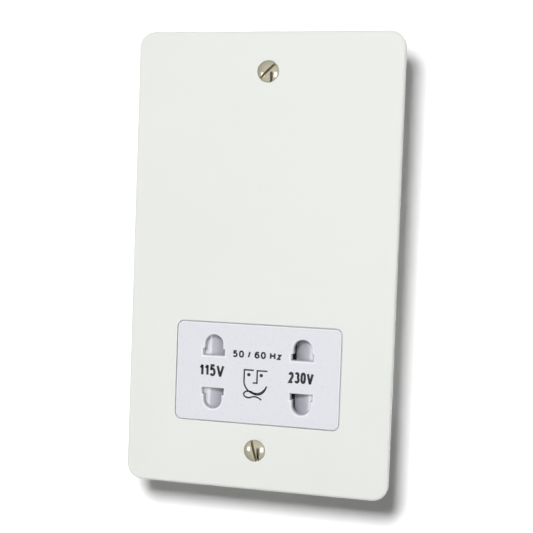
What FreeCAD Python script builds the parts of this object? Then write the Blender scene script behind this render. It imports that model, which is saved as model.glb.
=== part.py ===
import FreeCAD, Part
import math
import os
import re
import Sketcher

# Shaver socket: a vertical wall plate with two shuttered outlets and an isolating transformer.
# The frame is the wall plane (Y 0) at the middle of the plate. The front faces -Y and Z is up.

# Driving sizes in millimetres. Each one can be changed by itself.
SIZES = {
    # wall plate
    "plate_width": 86,
    "plate_height": 146,
    "plate_depth": 3,
    "plate_skin": 1.8,
    "rim_width": 1.6,
    "corner_round": 5,
    "edge_round": 1,
    # fixing screws
    "screw_inset": 12.7,
    "screw_head": 7,
    "screw_thread": 3.5,
    "screw_neck": 2.8,
    "screw_reach": 22,
    "neck_reach": 0.6,
    "screw_tip": 0.6,
    "dome_rise": 0.9,
    "slot_width": 0.9,
    "slot_depth": 1.2,
    "upper_slot_turn": 45,
    "lower_slot_turn": 107,
    "hole_play": 0.6,
    "seat_gap": 0.05,
    # outlet face
    "socket_lift": 37.2,
    "insert_width": 53.5,
    "insert_height": 31.7,
    "insert_round": 2,
    "insert_proud": 0.2,
    "insert_bevel": 0.3,
    "insert_gap": 0.3,
    "front_wall": 2.6,
    "socket_spacing": 29,
    "arch_width": 5.8,
    "arch_height": 6.6,
    "arch_base": 5.3,
    "ear_width": 7.1,
    "ear_height": 2,
    "arch_bevel": 0.3,
    # shutter
    "shutter_width": 48,
    "shutter_height": 25.6,
    "shutter_thick": 4,
    "run_gap": 0.3,
    "nose_reach": 2.1,
    "ramp_reach": 3.6,
    "shutter_window": 5.8,
    "window_low": 4.7,
    "window_margin": 0.5,
    "nose_round": 0.5,
    "travel": 6.3,
    "slot_length": 25,
    "slot_height": 6.4,
    "post_width": 4,
    "post_height": 4.8,
    "spring_metal": 0.5,
    "spring_strip": 3,
    "spring_play": 0.2,
    # outlet block
    "block_width": 65,
    "block_height": 36.4,
    "carrier_depth": 14,
    "carrier_front": 2.5,
    "base_thick": 2,
    "pocket_width": 9.2,
    "pocket_low": 4.4,
    "pocket_high": 13,
    "channel_height": 2.8,
    "clip_mouth": 4.1,
    "clip_metal": 0.6,
    "clip_height": 7,
    "clip_middle": 8.6,
    "clip_width": 8.8,
    "tail_width": 3,
    "tail_reach": 2,
    "tail_gap": 0.2,
    "riser_lift": 24.3,
    # studs and nuts
    "stud_width": 3,
    "stud_play": 0.3,
    "socket_stud_x": 29,
    "socket_stud_z": 15.6,
    "nut_flats": 5.5,
    "nut_height": 2.4,
    "stud_beyond": 0.4,
    "earth_stud_x": 10,
    "earth_stud_lift": 23.4,
    "tag_metal": 0.6,
    "tag_width": 5.4,
    "tag_end_x": 23.5,
    # transformer
    "core_width": 47.5,
    "core_clear": 27.8,
    "core_cover": 3.5,
    "core_stack": 20,
    "core_front": 10.6,
    "spacer_width": 6,
    "bobbin_gap": 0.1,
    "bobbin_wall": 0.9,
    "flange_wall": 1,
    "flange_y": 19,
    "winding_build": 7.4,
    "winding_margin": 0.9,
    "winding_round": 3,
    "pin_width": 0.8,
    "pin_length": 5,
    "pin_pitch": 2.7,
    "mains_pin": 13.5,
    "outlet_pin": 12,
    "cutout_width": 8,
    "cutout_height": 14,
    "cutout_thick": 2.9,
    # mains terminals
    "terminal_side": 5.3,
    "terminal_height": 14,
    "terminal_depth": 14,
    "terminal_lift": 5.6,
    "terminal_low": 16,
    "terminal_pitch": 13.65,
    "earth_pole": 22,
    "leg_width": 2.6,
    "leg_inset": 4,
    "entry_width": 3.8,
    "lead_slot": 2.2,
    "clamp_size": 7,
    "clamp_height": 8.6,
    "clamp_gap": 0.2,
    "clamp_bore": 3.4,
    "clamp_sunk": 2,
    "grub_head": 6,
    "grub_thread": 3,
    "grub_slot": 0.8,
    # rear housing
    "housing_width": 69,
    "housing_top_gap": 7.8,
    "housing_foot_gap": 4.3,
    "housing_back": 44,
    "housing_wall": 1.6,
    "housing_round": 3,
    "bay_width": 58,
    "bay_lift": 0.8,
    "bay_front": 24,
    "vent_width": 2,
    "vent_height": 26,
    "vent_pitch": 4.5,
    "vent_count": 6,
    # leads
    "lead_width": 1.6,
}

# Lengths that follow from the driving sizes.
FITTED = {
    "screw_rise": "plate_height / 2 - screw_inset",
    "socket_drop": "plate_height / 2 - socket_lift",
    "window_high": "shutter_height / 2 - window_margin",
    "riser_top": "socket_drop - riser_lift",
    "earth_stud_drop": "socket_drop - earth_stud_lift",
    "housing_top": "screw_rise - housing_top_gap",
    "housing_bottom": "screw_rise - housing_foot_gap",
    "bay_top": "socket_drop - bay_lift",
    "core_low": "core_clear - socket_drop",
    "core_high": "housing_top - core_cover",
    "core_rise": "(core_low + core_high) / 2",
    "core_height": "core_high - core_low",
    "core_leg": "core_height / 6",
    "core_yoke": "core_width / 5",
    "flange_z": "2 * core_leg - 2 * bobbin_gap",
    "winding_rise": "flange_z - core_leg - bobbin_gap - bobbin_wall - winding_margin",
}

# Planes and axes worked out from the driving sizes.
SKIN_BACK = "(plate_skin - plate_depth)"
COVER_FACE = "(-plate_depth - insert_proud)"
CAVITY_FRONT = f"({COVER_FACE} + front_wall)"
SHUTTER_FRONT = f"({CAVITY_FRONT} + run_gap)"
COVER_BACK = f"({SHUTTER_FRONT} + shutter_thick + run_gap)"
CARRIER_BACK = f"({COVER_BACK} + carrier_depth)"
BASE_BACK = f"({CARRIER_BACK} + base_thick)"
SOCKET_Z = "(-socket_drop)"
SOCKET_X = "(socket_spacing / 2)"
CORE_Y = "(core_front + core_stack / 2)"
CORE_BACK = "(core_front + core_stack)"
CORE_STUD_X = "(core_width / 2 - core_yoke / 2)"
CORE_STUD_Z = "(core_height / 2 - core_leg / 2)"
TERMINAL_FRONT = f"({BASE_BACK} + terminal_lift)"
TERMINAL_BACK = f"({TERMINAL_FRONT} + terminal_depth)"
CLAMP_Y = f"({TERMINAL_BACK} - clamp_sunk - clamp_size / 2)"
TERMINAL_LOW = f"({SOCKET_Z} - terminal_low)"
CLAMP_Z = f"({TERMINAL_LOW} + terminal_height / 2)"

DOC = FreeCAD.newDocument("shaver_socket")
NODES = []


def make_sheet():
    """Write every driving size in the spreadsheet under its own name."""
    sheet = DOC.addObject("Spreadsheet::Sheet", "sizes")
    for row, (name, value) in enumerate(SIZES.items(), 1):
        sheet.set(f"A{row}", name)
        sheet.set(f"B{row}", str(value))
        sheet.setAlias(f"B{row}", name)
    DOC.recompute()
    return sheet


def bind(thing, target, formula):
    """Bind a property to a formula of sheet names, with every fitted length written out."""
    text = str(formula)
    while set(re.findall(r"[a-z_]+", text)) & set(FITTED):
        text = re.sub(r"[a-z_]+", lambda word: f"({FITTED[word[0]]})" if word[0] in FITTED else word[0], text)
    text = re.sub(r"[a-z_]+", lambda word: "sizes." + word[0] if word[0] in SIZES else word[0], text)
    thing.setExpression(target, text)


def place(thing, x=0, y=0, z=0):
    """Bind the place of an object."""
    for axis, formula in zip("xyz", (x, y, z)):
        if formula != 0:
            bind(thing, f"Placement.Base.{axis}", formula)


def node(thing, name):
    """Keep an object as a finished sub-part."""
    thing.Label = name
    NODES.append(thing)
    return thing


def block(name, x, y, z):
    """A box between pairs of low and high formulas."""
    box = DOC.addObject("Part::Box", name)
    place(box, x[0], y[0], z[0])
    for target, (low, high) in zip(("Length", "Width", "Height"), (x, y, z)):
        bind(box, target, f"({high}) - ({low})")
    return box


def turned(axis):
    """The rotation that lays the local Z along an axis."""
    if axis == "x":
        return FreeCAD.Rotation(FreeCAD.Vector(0, 1, 0), 90)
    if axis == "y":
        return FreeCAD.Rotation(FreeCAD.Vector(1, 0, 0), -90)
    return FreeCAD.Rotation()


def rod(name, axis, width, length, x=0, y=0, z=0):
    """A round bar that starts at a point and runs along an axis."""
    bar = DOC.addObject("Part::Cylinder", name)
    bar.Placement = FreeCAD.Placement(FreeCAD.Vector(), turned(axis))
    place(bar, x, y, z)
    bind(bar, "Radius", f"({width}) / 2")
    bind(bar, "Height", length)
    return bar


def fuse(name, *parts):
    """Join solids in one."""
    joined = DOC.addObject("Part::MultiFuse", name)
    joined.Shapes = list(parts)
    joined.Refine = True
    return joined


def cut(name, base, *tools):
    """Cut one or more solids out of a base."""
    result = DOC.addObject("Part::Cut", name)
    result.Base = base
    result.Tool = tools[0] if len(tools) == 1 else fuse(name + "_tools", *tools)
    result.Refine = True
    return result


def group(name, *parts):
    """Keep separate solids together as one sub-part."""
    bundle = DOC.addObject("Part::Compound", name)
    bundle.Links = list(parts)
    return node(bundle, name)


def new_body(name, x=0, y=0, z=0):
    """A body whose own origin stands at a point."""
    body = DOC.addObject("PartDesign::Body", name)
    place(body, x, y, z)
    return node(body, name)


def origin_plane(body, role):
    """One of the three planes of a body's origin."""
    return next(item for item in body.Origin.OriginFeatures if item.Role == role)


def sketch_on(body, name, role, offset=0, x=0, y=0, flip=False):
    """A sketch on an origin plane, moved by formulas in the plane's own axes."""
    sketch = body.newObject("Sketcher::SketchObject", name)
    sketch.AttachmentSupport = [(origin_plane(body, role), "")]
    sketch.MapMode = "FlatFace"
    if flip:
        over = FreeCAD.Rotation(FreeCAD.Vector(1, 0, 0), 180)
        sketch.AttachmentOffset = FreeCAD.Placement(FreeCAD.Vector(), over)
    for axis, formula in zip("xyz", (x, y, offset)):
        if formula != 0:
            bind(sketch, f"AttachmentOffset.Base.{axis}", formula)
    return sketch


def limit(sketch, formula, *parts):
    """Add a dimension to a sketch and bind it."""
    index = sketch.addConstraint(Sketcher.Constraint(*parts))
    bind(sketch, f"Constraints[{index}]", formula)


def add_round_rectangle(sketch, width, height, radius):
    """A centred rectangle with round corners."""
    half, tall, small = 20.0, 15.0, 1.0
    start = sketch.GeometryCount
    runs = [
        ((small - half, -tall), (half - small, -tall)),
        ((half, small - tall), (half, tall - small)),
        ((half - small, tall), (small - half, tall)),
        ((-half, tall - small), (-half, small - tall)),
    ]
    for (x0, y0), (x1, y1) in runs:
        sketch.addGeometry(Part.LineSegment(FreeCAD.Vector(x0, y0, 0), FreeCAD.Vector(x1, y1, 0)), False)
    for corner, (x, y) in enumerate(((1, -1), (1, 1), (-1, 1), (-1, -1))):
        middle = FreeCAD.Vector(x * (half - small), y * (tall - small), 0)
        circle = Part.Circle(middle, FreeCAD.Vector(0, 0, 1), small)
        first = math.radians(90 * corner - 90)
        sketch.addGeometry(Part.ArcOfCircle(circle, first, first + math.pi / 2), False)
    for side in range(4):
        arc = start + 4 + side
        sketch.addConstraint(Sketcher.Constraint("Tangent", start + side, 2, arc, 1))
        sketch.addConstraint(Sketcher.Constraint("Tangent", arc, 2, start + (side + 1) % 4, 1))
        run = "Horizontal" if side % 2 == 0 else "Vertical"
        sketch.addConstraint(Sketcher.Constraint(run, start + side))
        if side:
            sketch.addConstraint(Sketcher.Constraint("Equal", start + 4, arc))
    sketch.addConstraint(Sketcher.Constraint("Symmetric", start + 4, 3, start + 6, 3, -1, 1))
    limit(sketch, radius, "Radius", start + 4, small)
    limit(sketch, width, "DistanceX", start + 3, 1, start + 1, 1, 2 * half)
    limit(sketch, height, "DistanceY", start, 1, start + 2, 1, 2 * tall)


def add_rectangle(sketch, width, height):
    """A centred rectangle."""
    half, tall = 20.0, 15.0
    start = sketch.GeometryCount
    corners = [FreeCAD.Vector(x * half, y * tall, 0) for x, y in ((-1, -1), (1, -1), (1, 1), (-1, 1))]
    for side in range(4):
        sketch.addGeometry(Part.LineSegment(corners[side], corners[(side + 1) % 4]), False)
    for side in range(4):
        sketch.addConstraint(Sketcher.Constraint("Coincident", start + side, 2, start + (side + 1) % 4, 1))
        run = "Horizontal" if side % 2 == 0 else "Vertical"
        sketch.addConstraint(Sketcher.Constraint(run, start + side))
    sketch.addConstraint(Sketcher.Constraint("Symmetric", start, 1, start + 2, 1, -1, 1))
    limit(sketch, width, "DistanceX", start, 1, start, 2, 2 * half)
    limit(sketch, height, "DistanceY", start + 1, 1, start + 1, 2, 2 * tall)


def add_circle(sketch, width):
    """A circle on the sketch's origin."""
    index = sketch.addGeometry(Part.Circle(FreeCAD.Vector(), FreeCAD.Vector(0, 0, 1), 1), False)
    sketch.addConstraint(Sketcher.Constraint("Coincident", index, 3, -1, 1))
    limit(sketch, f"({width}) / 2", "Radius", index, 1)


def add_outline(sketch, corners, arc_after=None):
    """A closed outline of straight runs through formula points.

    The run after corner number arc_after can be an arc whose centre lies on the sketch's Y axis.
    """
    count = len(corners)
    ring = [2 * math.pi * index / count for index in range(count)]
    points = [FreeCAD.Vector(9 + 5 * math.cos(turn), 9 + 5 * math.sin(turn), 0) for turn in ring]
    for index in range(count):
        first, last = points[index], points[(index + 1) % count]
        if index == arc_after:
            middle = (first + last) * 0.5
            bulge = middle + (middle - FreeCAD.Vector(9, 9, 0)) * 0.5
            sketch.addGeometry(Part.Arc(first, bulge, last), False)
        else:
            sketch.addGeometry(Part.LineSegment(first, last), False)
    ends = []
    for index in range(count):
        ends.append((index, 1))
    for index in range(count):
        after = (index + 1) % count
        sketch.addConstraint(Sketcher.Constraint("Coincident", index, 2, *ends[after]))
    if arc_after is not None:
        sketch.addConstraint(Sketcher.Constraint("PointOnObject", arc_after, 3, -2))
    for (x, y), end in zip(corners, ends):
        for kind, formula in (("DistanceX", x), ("DistanceY", y)):
            if formula == 0:
                line = -2 if kind == "DistanceX" else -1
                sketch.addConstraint(Sketcher.Constraint("PointOnObject", *end, line))
            else:
                limit(sketch, formula, kind, -1, 1, *end, 1.0)


def pad(body, name, sketch, length):
    """Grow a sketch along its own normal."""
    feature = body.newObject("PartDesign::Pad", name)
    feature.Profile = sketch
    bind(feature, "Length", length)
    DOC.recompute()
    return feature


def pocket(body, name, sketch, length=None, both_ways=False):
    """Cut a sketch against its own normal, through everything when no length is given."""
    before = body.Shape.Volume
    feature = body.newObject("PartDesign::Pocket", name)
    feature.Profile = sketch
    if length is None:
        feature.Type = "ThroughAll"
    else:
        bind(feature, "Length", length)
    feature.Midplane = both_ways
    DOC.recompute()
    if "Invalid" in feature.State + sketch.State or body.Shape.Volume >= before - 1e-6:
        raise RuntimeError(f"{body.Label}: {name} cuts nothing")
    return feature


def mirror(body, name, features, role):
    """Repeat features on the other side of an origin plane."""
    before = body.Shape.Volume
    feature = body.newObject("PartDesign::Mirrored", name)
    feature.Originals = features
    feature.MirrorPlane = (origin_plane(body, role), [""])
    body.Tip = feature
    DOC.recompute()
    if abs(body.Shape.Volume - before) < 1e-6:
        raise RuntimeError(f"{body.Label}: {name} changes nothing")
    return feature


def dress(body, kind, name, base, pieces, size):
    """A fillet or chamfer on named edges or faces."""
    feature = body.newObject("PartDesign::" + kind, name)
    feature.Base = (base, pieces)
    bind(feature, "Radius" if kind == "Fillet" else "Size", size)
    DOC.recompute()
    return feature


def front_faces(base):
    """The faces that lie on a shape's frontmost plane."""
    front = base.Shape.BoundBox.YMin
    found = []
    for index, face in enumerate(base.Shape.Faces, 1):
        flat = isinstance(face.Surface, Part.Plane)
        if flat and abs(face.CenterOfMass.y - front) < 1e-4 and abs(face.normalAt(0, 0).y) > 0.99:
            found.append(f"Face{index}")
    return found


def front_plate():
    """Pressed sheet with a returned rim, a window and two countersunk screw holes."""
    body = new_body("front_plate")
    outline = sketch_on(body, "plate_outline", "XZ_Plane")
    add_round_rectangle(outline, "plate_width", "plate_height", "corner_round")
    plate = pad(body, "plate_pad", outline, "plate_depth")
    dress(body, "Fillet", "plate_edge", plate, front_faces(plate), "edge_round")
    inside = sketch_on(body, "tray_outline", "XZ_Plane", offset=f"-{SKIN_BACK}")
    add_round_rectangle(
        inside, "plate_width - 2 * rim_width", "plate_height - 2 * rim_width", "corner_round - rim_width"
    )
    pocket(body, "tray", inside, f"-{SKIN_BACK}")
    sink = sketch_on(body, "sink_profile", "YZ_Plane", y="screw_rise")
    wide = "(screw_head / 2 + seat_gap)"
    narrow = "(screw_thread / 2 + hole_play / 2)"
    add_outline(
        sink,
        [
            ("-plate_depth - 1", 0),
            ("-plate_depth - 1", wide),
            ("-plate_depth", wide),
            (f"{wide} - plate_depth - {narrow}", narrow),
            (0, narrow),
            (0, 0),
        ],
    )
    groove = body.newObject("PartDesign::Groove", "countersink")
    groove.Profile = sink
    groove.ReferenceAxis = (sink, ["H_Axis"])
    groove.Angle = 360
    DOC.recompute()
    mirror(body, "second_countersink", [groove], "XY_Plane")
    window = sketch_on(body, "window_outline", "XZ_Plane", offset="plate_depth", y=SOCKET_Z)
    add_round_rectangle(
        window,
        "insert_width + 2 * insert_gap",
        "insert_height + 2 * insert_gap",
        "insert_round + insert_gap",
    )
    pocket(body, "window", window, "plate_depth")


def fixing_screw(name, z, slot_turn):
    """Slotted raised countersunk screw through the plate into the wall box."""
    body = DOC.addObject("PartDesign::Body", name)
    place(body, 0, 0, z)
    profile = sketch_on(body, name + "_profile", "XY_Plane", y="screw_reach", flip=True)
    rim = "(screw_reach + plate_depth)"
    neck = "(screw_neck / 2)"
    thread = "(screw_thread / 2)"
    add_outline(
        profile,
        [
            (0, 0),
            (f"{thread} - screw_tip", 0),
            (thread, "screw_tip"),
            (thread, "screw_reach - neck_reach"),
            (neck, "screw_reach - neck_reach"),
            (neck, f"{rim} - screw_head / 2 + {neck}"),
            ("screw_head / 2", rim),
            (0, f"{rim} + dome_rise"),
        ],
        arc_after=6,
    )
    turn = body.newObject("PartDesign::Revolution", name + "_turned")
    turn.Profile = profile
    turn.ReferenceAxis = (profile, ["V_Axis"])
    turn.Angle = 360
    DOC.recompute()
    slot = sketch_on(body, name + "_slot", "XZ_Plane", offset="plate_depth + dome_rise")
    bind(slot, "AttachmentOffset.Rotation.Angle", slot_turn)
    add_rectangle(slot, "screw_head + 1", "slot_width")
    pocket(body, name + "_slot_cut", slot, "slot_depth")
    return body


def fixing_screws():
    """The upper and lower screws of the plate."""
    upper = fixing_screw("upper_screw", "screw_rise", "upper_slot_turn")
    lower = fixing_screw("lower_screw", "-screw_rise", "lower_slot_turn")
    group("fixing_screws", upper, lower)


def add_arch(sketch):
    """An upright arch with two short ears at its flat foot."""
    rough = [(-4, 0), (4, 0), (4, 2), (3, 2), (3, 4), (-3, 4), (-3, 2), (-4, 2)]
    points = [FreeCAD.Vector(x, y, 0) for x, y in rough]
    for index in range(8):
        first, last = points[index], points[(index + 1) % 8]
        if index == 4:
            sketch.addGeometry(Part.Arc(first, FreeCAD.Vector(0, 7, 0), last), False)
        else:
            sketch.addGeometry(Part.LineSegment(first, last), False)
    for index in range(8):
        if index == 3:
            sketch.addConstraint(Sketcher.Constraint("Tangent", 3, 2, 4, 1))
        elif index == 4:
            sketch.addConstraint(Sketcher.Constraint("Tangent", 4, 2, 5, 1))
        else:
            sketch.addConstraint(Sketcher.Constraint("Coincident", index, 2, (index + 1) % 8, 1))
    for index in (0, 2, 6):
        sketch.addConstraint(Sketcher.Constraint("Horizontal", index))
    for index in (1, 3, 5, 7):
        sketch.addConstraint(Sketcher.Constraint("Vertical", index))
    sketch.addConstraint(Sketcher.Constraint("Symmetric", 0, 1, 0, 2, -1, 1))
    sketch.addConstraint(Sketcher.Constraint("PointOnObject", 4, 3, -2))
    sketch.addConstraint(Sketcher.Constraint("Equal", 1, 7))
    limit(sketch, "ear_width", "DistanceX", 0, 1, 0, 2, 8.0)
    limit(sketch, "ear_height", "DistanceY", 1, 1, 1, 2, 2.0)
    limit(sketch, "arch_width / 2", "Radius", 4, 3.0)
    limit(sketch, "arch_height - arch_width / 2", "DistanceY", -1, 1, 4, 3, 4.0)


def four_ways(body, name, features):
    """Repeat a feature of one outlet aperture in the other three."""
    multi = body.newObject("PartDesign::MultiTransform", name)
    multi.Originals = features
    steps = []
    for role in ("YZ_Plane", "XY_Plane"):
        step = body.newObject("PartDesign::Mirrored", f"{name}_{role[:2].lower()}")
        step.MirrorPlane = (origin_plane(body, role), [""])
        steps.append(step)
    multi.Transformations = steps
    body.Tip = multi
    DOC.recompute()
    return multi


def stud_passages(body, front, back):
    """Two holes for the studs, at opposite corners of the outlet block."""
    for name, side in (("upper", ""), ("lower", "-")):
        hole = sketch_on(
            body,
            f"{name}_stud_hole",
            "XZ_Plane",
            offset=f"-{front}",
            x="-socket_stud_x" if name == "upper" else "socket_stud_x",
            y=f"{side}socket_stud_z",
        )
        add_circle(hole, "stud_width + stud_play")
        pocket(body, f"{name}_stud_passage", hole, f"{back} - {front}")


def socket_cover():
    """Moulded outlet face with four arch apertures, a flange and the shutter's cavity."""
    body = new_body("socket_cover", z=SOCKET_Z)
    flange = sketch_on(body, "flange_outline", "XZ_Plane", offset=f"-{COVER_BACK}")
    add_round_rectangle(flange, "block_width", "block_height", "insert_round")
    pad(body, "flange", flange, f"{COVER_BACK} - {SKIN_BACK}")
    face = sketch_on(body, "face_outline", "XZ_Plane", offset=f"-{SKIN_BACK}")
    add_round_rectangle(face, "insert_width", "insert_height", "insert_round")
    raised = pad(body, "raised_face", face, f"{SKIN_BACK} - {COVER_FACE}")
    dress(body, "Chamfer", "face_edge", raised, front_faces(raised), "insert_bevel")
    cavity = sketch_on(body, "cavity_outline", "XZ_Plane", offset=f"-{CAVITY_FRONT}")
    add_rectangle(cavity, "shutter_width + 2 * travel + 2 * run_gap", "shutter_height + 2 * run_gap")
    pocket(body, "cavity", cavity, f"{COVER_BACK} - {CAVITY_FRONT}")
    arch = sketch_on(body, "arch_outline", "XZ_Plane", offset=f"-{COVER_FACE}", x=SOCKET_X, y="arch_base")
    add_arch(arch)
    first = pocket(body, "arch", arch, "front_wall")
    apertures = four_ways(body, "arches", [first])
    face_plane = apertures.Shape.BoundBox.YMin
    mouths = []
    for index, edge in enumerate(apertures.Shape.Edges, 1):
        low = edge.BoundBox
        inside = abs(edge.CenterOfMass.x) < SIZES["insert_width"] / 2 - 2
        inside = inside and abs(edge.CenterOfMass.z) < SIZES["insert_height"] / 2 - 1.5
        if inside and abs(low.YMin - face_plane) < 1e-4 and abs(low.YMax - face_plane) < 1e-4:
            mouths.append(f"Edge{index}")
    dress(body, "Chamfer", "arch_mouths", apertures, mouths, "arch_bevel")
    stud_passages(body, SKIN_BACK, COVER_BACK)


def shutter_slider():
    """Sliding shutter with four ramps that a plug's pins push aside."""
    body = new_body("shutter_slider", z=SOCKET_Z)
    outline = sketch_on(body, "shutter_outline", "XZ_Plane", offset=f"-({SHUTTER_FRONT} + shutter_thick)")
    add_round_rectangle(outline, "shutter_width", "shutter_height", "nose_round")
    pad(body, "shutter_plate", outline, "shutter_thick")
    slot = sketch_on(body, "spring_slot", "XZ_Plane", offset=f"-{SHUTTER_FRONT}")
    add_rectangle(slot, "slot_length", "slot_height")
    pocket(body, "spring_slot_cut", slot, "shutter_thick")
    ramp = sketch_on(body, "ramp_section", "XY_Plane", offset="(window_low + window_high) / 2")
    front = f"{SHUTTER_FRONT}"
    back = f"({SHUTTER_FRONT} + shutter_thick)"
    inner = f"({SOCKET_X} - ramp_reach - shutter_window)"
    add_outline(
        ramp,
        [
            (inner, f"{front} - 1"),
            (f"{SOCKET_X} + nose_reach", f"{front} - 1"),
            (f"{SOCKET_X} + nose_reach", front),
            (f"{SOCKET_X} - ramp_reach", back),
            (f"{SOCKET_X} - ramp_reach", f"{back} + 1"),
            (inner, f"{back} + 1"),
        ],
    )
    first = pocket(body, "ramp", ramp, "window_high - window_low", both_ways=True)
    ramps = four_ways(body, "ramps", [first])
    nose_x = SIZES["socket_spacing"] / 2 + SIZES["nose_reach"]
    window_height = SIZES["shutter_height"] / 2 - SIZES["window_margin"] - SIZES["window_low"]
    noses = []
    for index, edge in enumerate(ramps.Shape.Edges, 1):
        upright = abs(edge.BoundBox.ZLength - window_height) < 1e-3
        if upright and abs(abs(edge.CenterOfMass.x) - nose_x) < 1e-3:
            noses.append(f"Edge{index}")
    dress(body, "Fillet", "noses", ramps, noses, "nose_round")


def shutter_spring(name, turn):
    """Folded leaf spring between the carrier's post and one end of the shutter's slot."""
    body = new_body(name, 0, f"{SHUTTER_FRONT} + shutter_thick / 2", SOCKET_Z)
    fold = sketch_on(body, name + "_fold", "XZ_Plane", offset="-spring_strip / 2")
    bind(fold, "AttachmentOffset.Rotation.Angle", turn)
    near = "(post_width / 2 + seat_gap)"
    far = "(slot_length / 2 - seat_gap)"
    middle = f"({near} + {far}) / 2"
    high = "(slot_height / 2 - spring_play)"
    inner = f"2 * spring_metal * {high} / ({middle} - {near}) - {high}"
    add_outline(
        fold,
        [
            (near, high),
            (middle, f"-{high}"),
            (far, high),
            (f"{far} - spring_metal", high),
            (middle, inner),
            (f"{near} + spring_metal", high),
        ],
    )
    pad(body, name + "_strip", fold, "spring_strip")


def contact_carrier():
    """Moulding behind the shutter: it guides the pins, holds the contacts and carries the spring post."""
    body = new_body("contact_carrier", z=SOCKET_Z)
    outline = sketch_on(body, "carrier_outline", "XZ_Plane", offset=f"-{CARRIER_BACK}")
    add_round_rectangle(outline, "block_width", "block_height", "insert_round")
    pad(body, "carrier_pad", outline, "carrier_depth")
    post = sketch_on(body, "post_outline", "XZ_Plane", offset=f"-{COVER_BACK}")
    add_rectangle(post, "post_width", "post_height")
    pad(body, "post", post, f"{COVER_BACK} - {SHUTTER_FRONT}")
    middle = "((pocket_low + pocket_high) / 2)"
    well = sketch_on(body, "well_outline", "XZ_Plane", offset=f"-{COVER_BACK}", x=SOCKET_X, y=middle)
    add_rectangle(well, "arch_width", "pocket_high - pocket_low - 1")
    wells = pocket(body, "well", well, "carrier_front")
    room = sketch_on(
        body, "pocket_outline", "XZ_Plane", offset=f"-({COVER_BACK} + carrier_front)", x=SOCKET_X, y=middle
    )
    add_rectangle(room, "pocket_width", "pocket_high - pocket_low")
    rooms = pocket(body, "contact_pocket", room, "carrier_depth - carrier_front")
    four_ways(body, "carrier_fours", [wells, rooms])
    stud_passages(body, COVER_BACK, CARRIER_BACK)
    channel = sketch_on(
        body, "channel_outline", "XZ_Plane", offset=f"-({CARRIER_BACK} - 2 * clip_metal)", y="clip_middle"
    )
    add_rectangle(channel, "socket_spacing", "channel_height")
    pocket(body, "channel", channel, "2 * clip_metal")


def clip(name, x, z):
    """Two spring leaves on a foot, which grip one pin."""
    back = CARRIER_BACK
    foot = block(
        name + "_foot",
        (f"{x} - clip_width / 2", f"{x} + clip_width / 2"),
        (f"{back} - clip_metal", back),
        (f"{z} - clip_height / 2", f"{z} + clip_height / 2"),
    )
    parts = [foot]
    for side, sign in (("left", "-"), ("right", "+")):
        inner = f"{x} {sign} clip_mouth / 2"
        outer = f"{x} {sign} (clip_mouth / 2 + clip_metal)"
        low, high = (outer, inner) if sign == "-" else (inner, outer)
        leaf = block(
            f"{name}_{side}",
            (low, high),
            (f"{COVER_BACK} + carrier_front + 1", f"{back} - clip_metal"),
            (f"{z} - clip_height / 2", f"{z} + clip_height / 2"),
        )
        parts.append(leaf)
    return parts


def tail(name, x, z):
    """Tail that passes through the base behind a contact and rises above the block."""
    across = (f"{x} - tail_width / 2", f"{x} + tail_width / 2")
    end = f"({BASE_BACK} + tail_reach)"
    level = (f"{z} - clip_metal / 2", f"{z} + clip_metal / 2")
    through = block(name + "_tail", across, (CARRIER_BACK, end), level)
    riser = block(name + "_riser", across, (f"{end} - clip_metal", end), (level[0], "-riser_top"))
    return [through, riser]


def contacts():
    """The common pair above and a single contact below for each voltage."""
    upper, lower = f"({SOCKET_Z} + clip_middle)", f"({SOCKET_Z} - clip_middle)"
    bar = block(
        "common_bar",
        (f"-{SOCKET_X}", SOCKET_X),
        (f"{CARRIER_BACK} - clip_metal", CARRIER_BACK),
        (f"{upper} - 1", f"{upper} + 1"),
    )
    pieces = clip("common_left", f"(-{SOCKET_X})", upper) + clip("common_right", SOCKET_X, upper)
    node(fuse("common_contact", bar, *pieces, *tail("common", "0", upper)), "common_contact")
    for name, x in (("contact_115v", f"(-{SOCKET_X})"), ("contact_230v", SOCKET_X)):
        node(fuse(name, *clip(name, x, lower), *tail(name, x, lower)), name)


def carrier_base():
    """Insulating plate that closes the contacts from behind."""
    body = new_body("carrier_base", z=SOCKET_Z)
    outline = sketch_on(body, "base_outline", "XZ_Plane", offset=f"-{BASE_BACK}")
    add_round_rectangle(outline, "block_width", "block_height", "insert_round")
    pad(body, "base_pad", outline, "base_thick")
    for number, (x, side) in enumerate(((0, ""), (f"(-{SOCKET_X})", "-"), (SOCKET_X, "-"))):
        slot = sketch_on(
            body, f"tail_slot_{number}", "XZ_Plane", offset=f"-{CARRIER_BACK}", x=x, y=f"{side}clip_middle"
        )
        add_rectangle(slot, "tail_width + 2 * tail_gap", "clip_metal + 2 * tail_gap")
        pocket(body, f"tail_passage_{number}", slot, "base_thick")
    stud_passages(body, CARRIER_BACK, BASE_BACK)


def socket_stud_places():
    """Places of the two studs that hold the outlet block."""
    signs = (("-", "+"), ("", "-"))
    return [(f"{x}socket_stud_x", f"{SOCKET_Z} {z} socket_stud_z") for x, z in signs]


def core_stud_places():
    """Places of the two studs that hold the core and the housing."""
    signs = (("-", "+"), ("", "-"))
    return [(f"{x}{CORE_STUD_X}", f"core_rise {z} {CORE_STUD_Z}") for x, z in signs]


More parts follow.
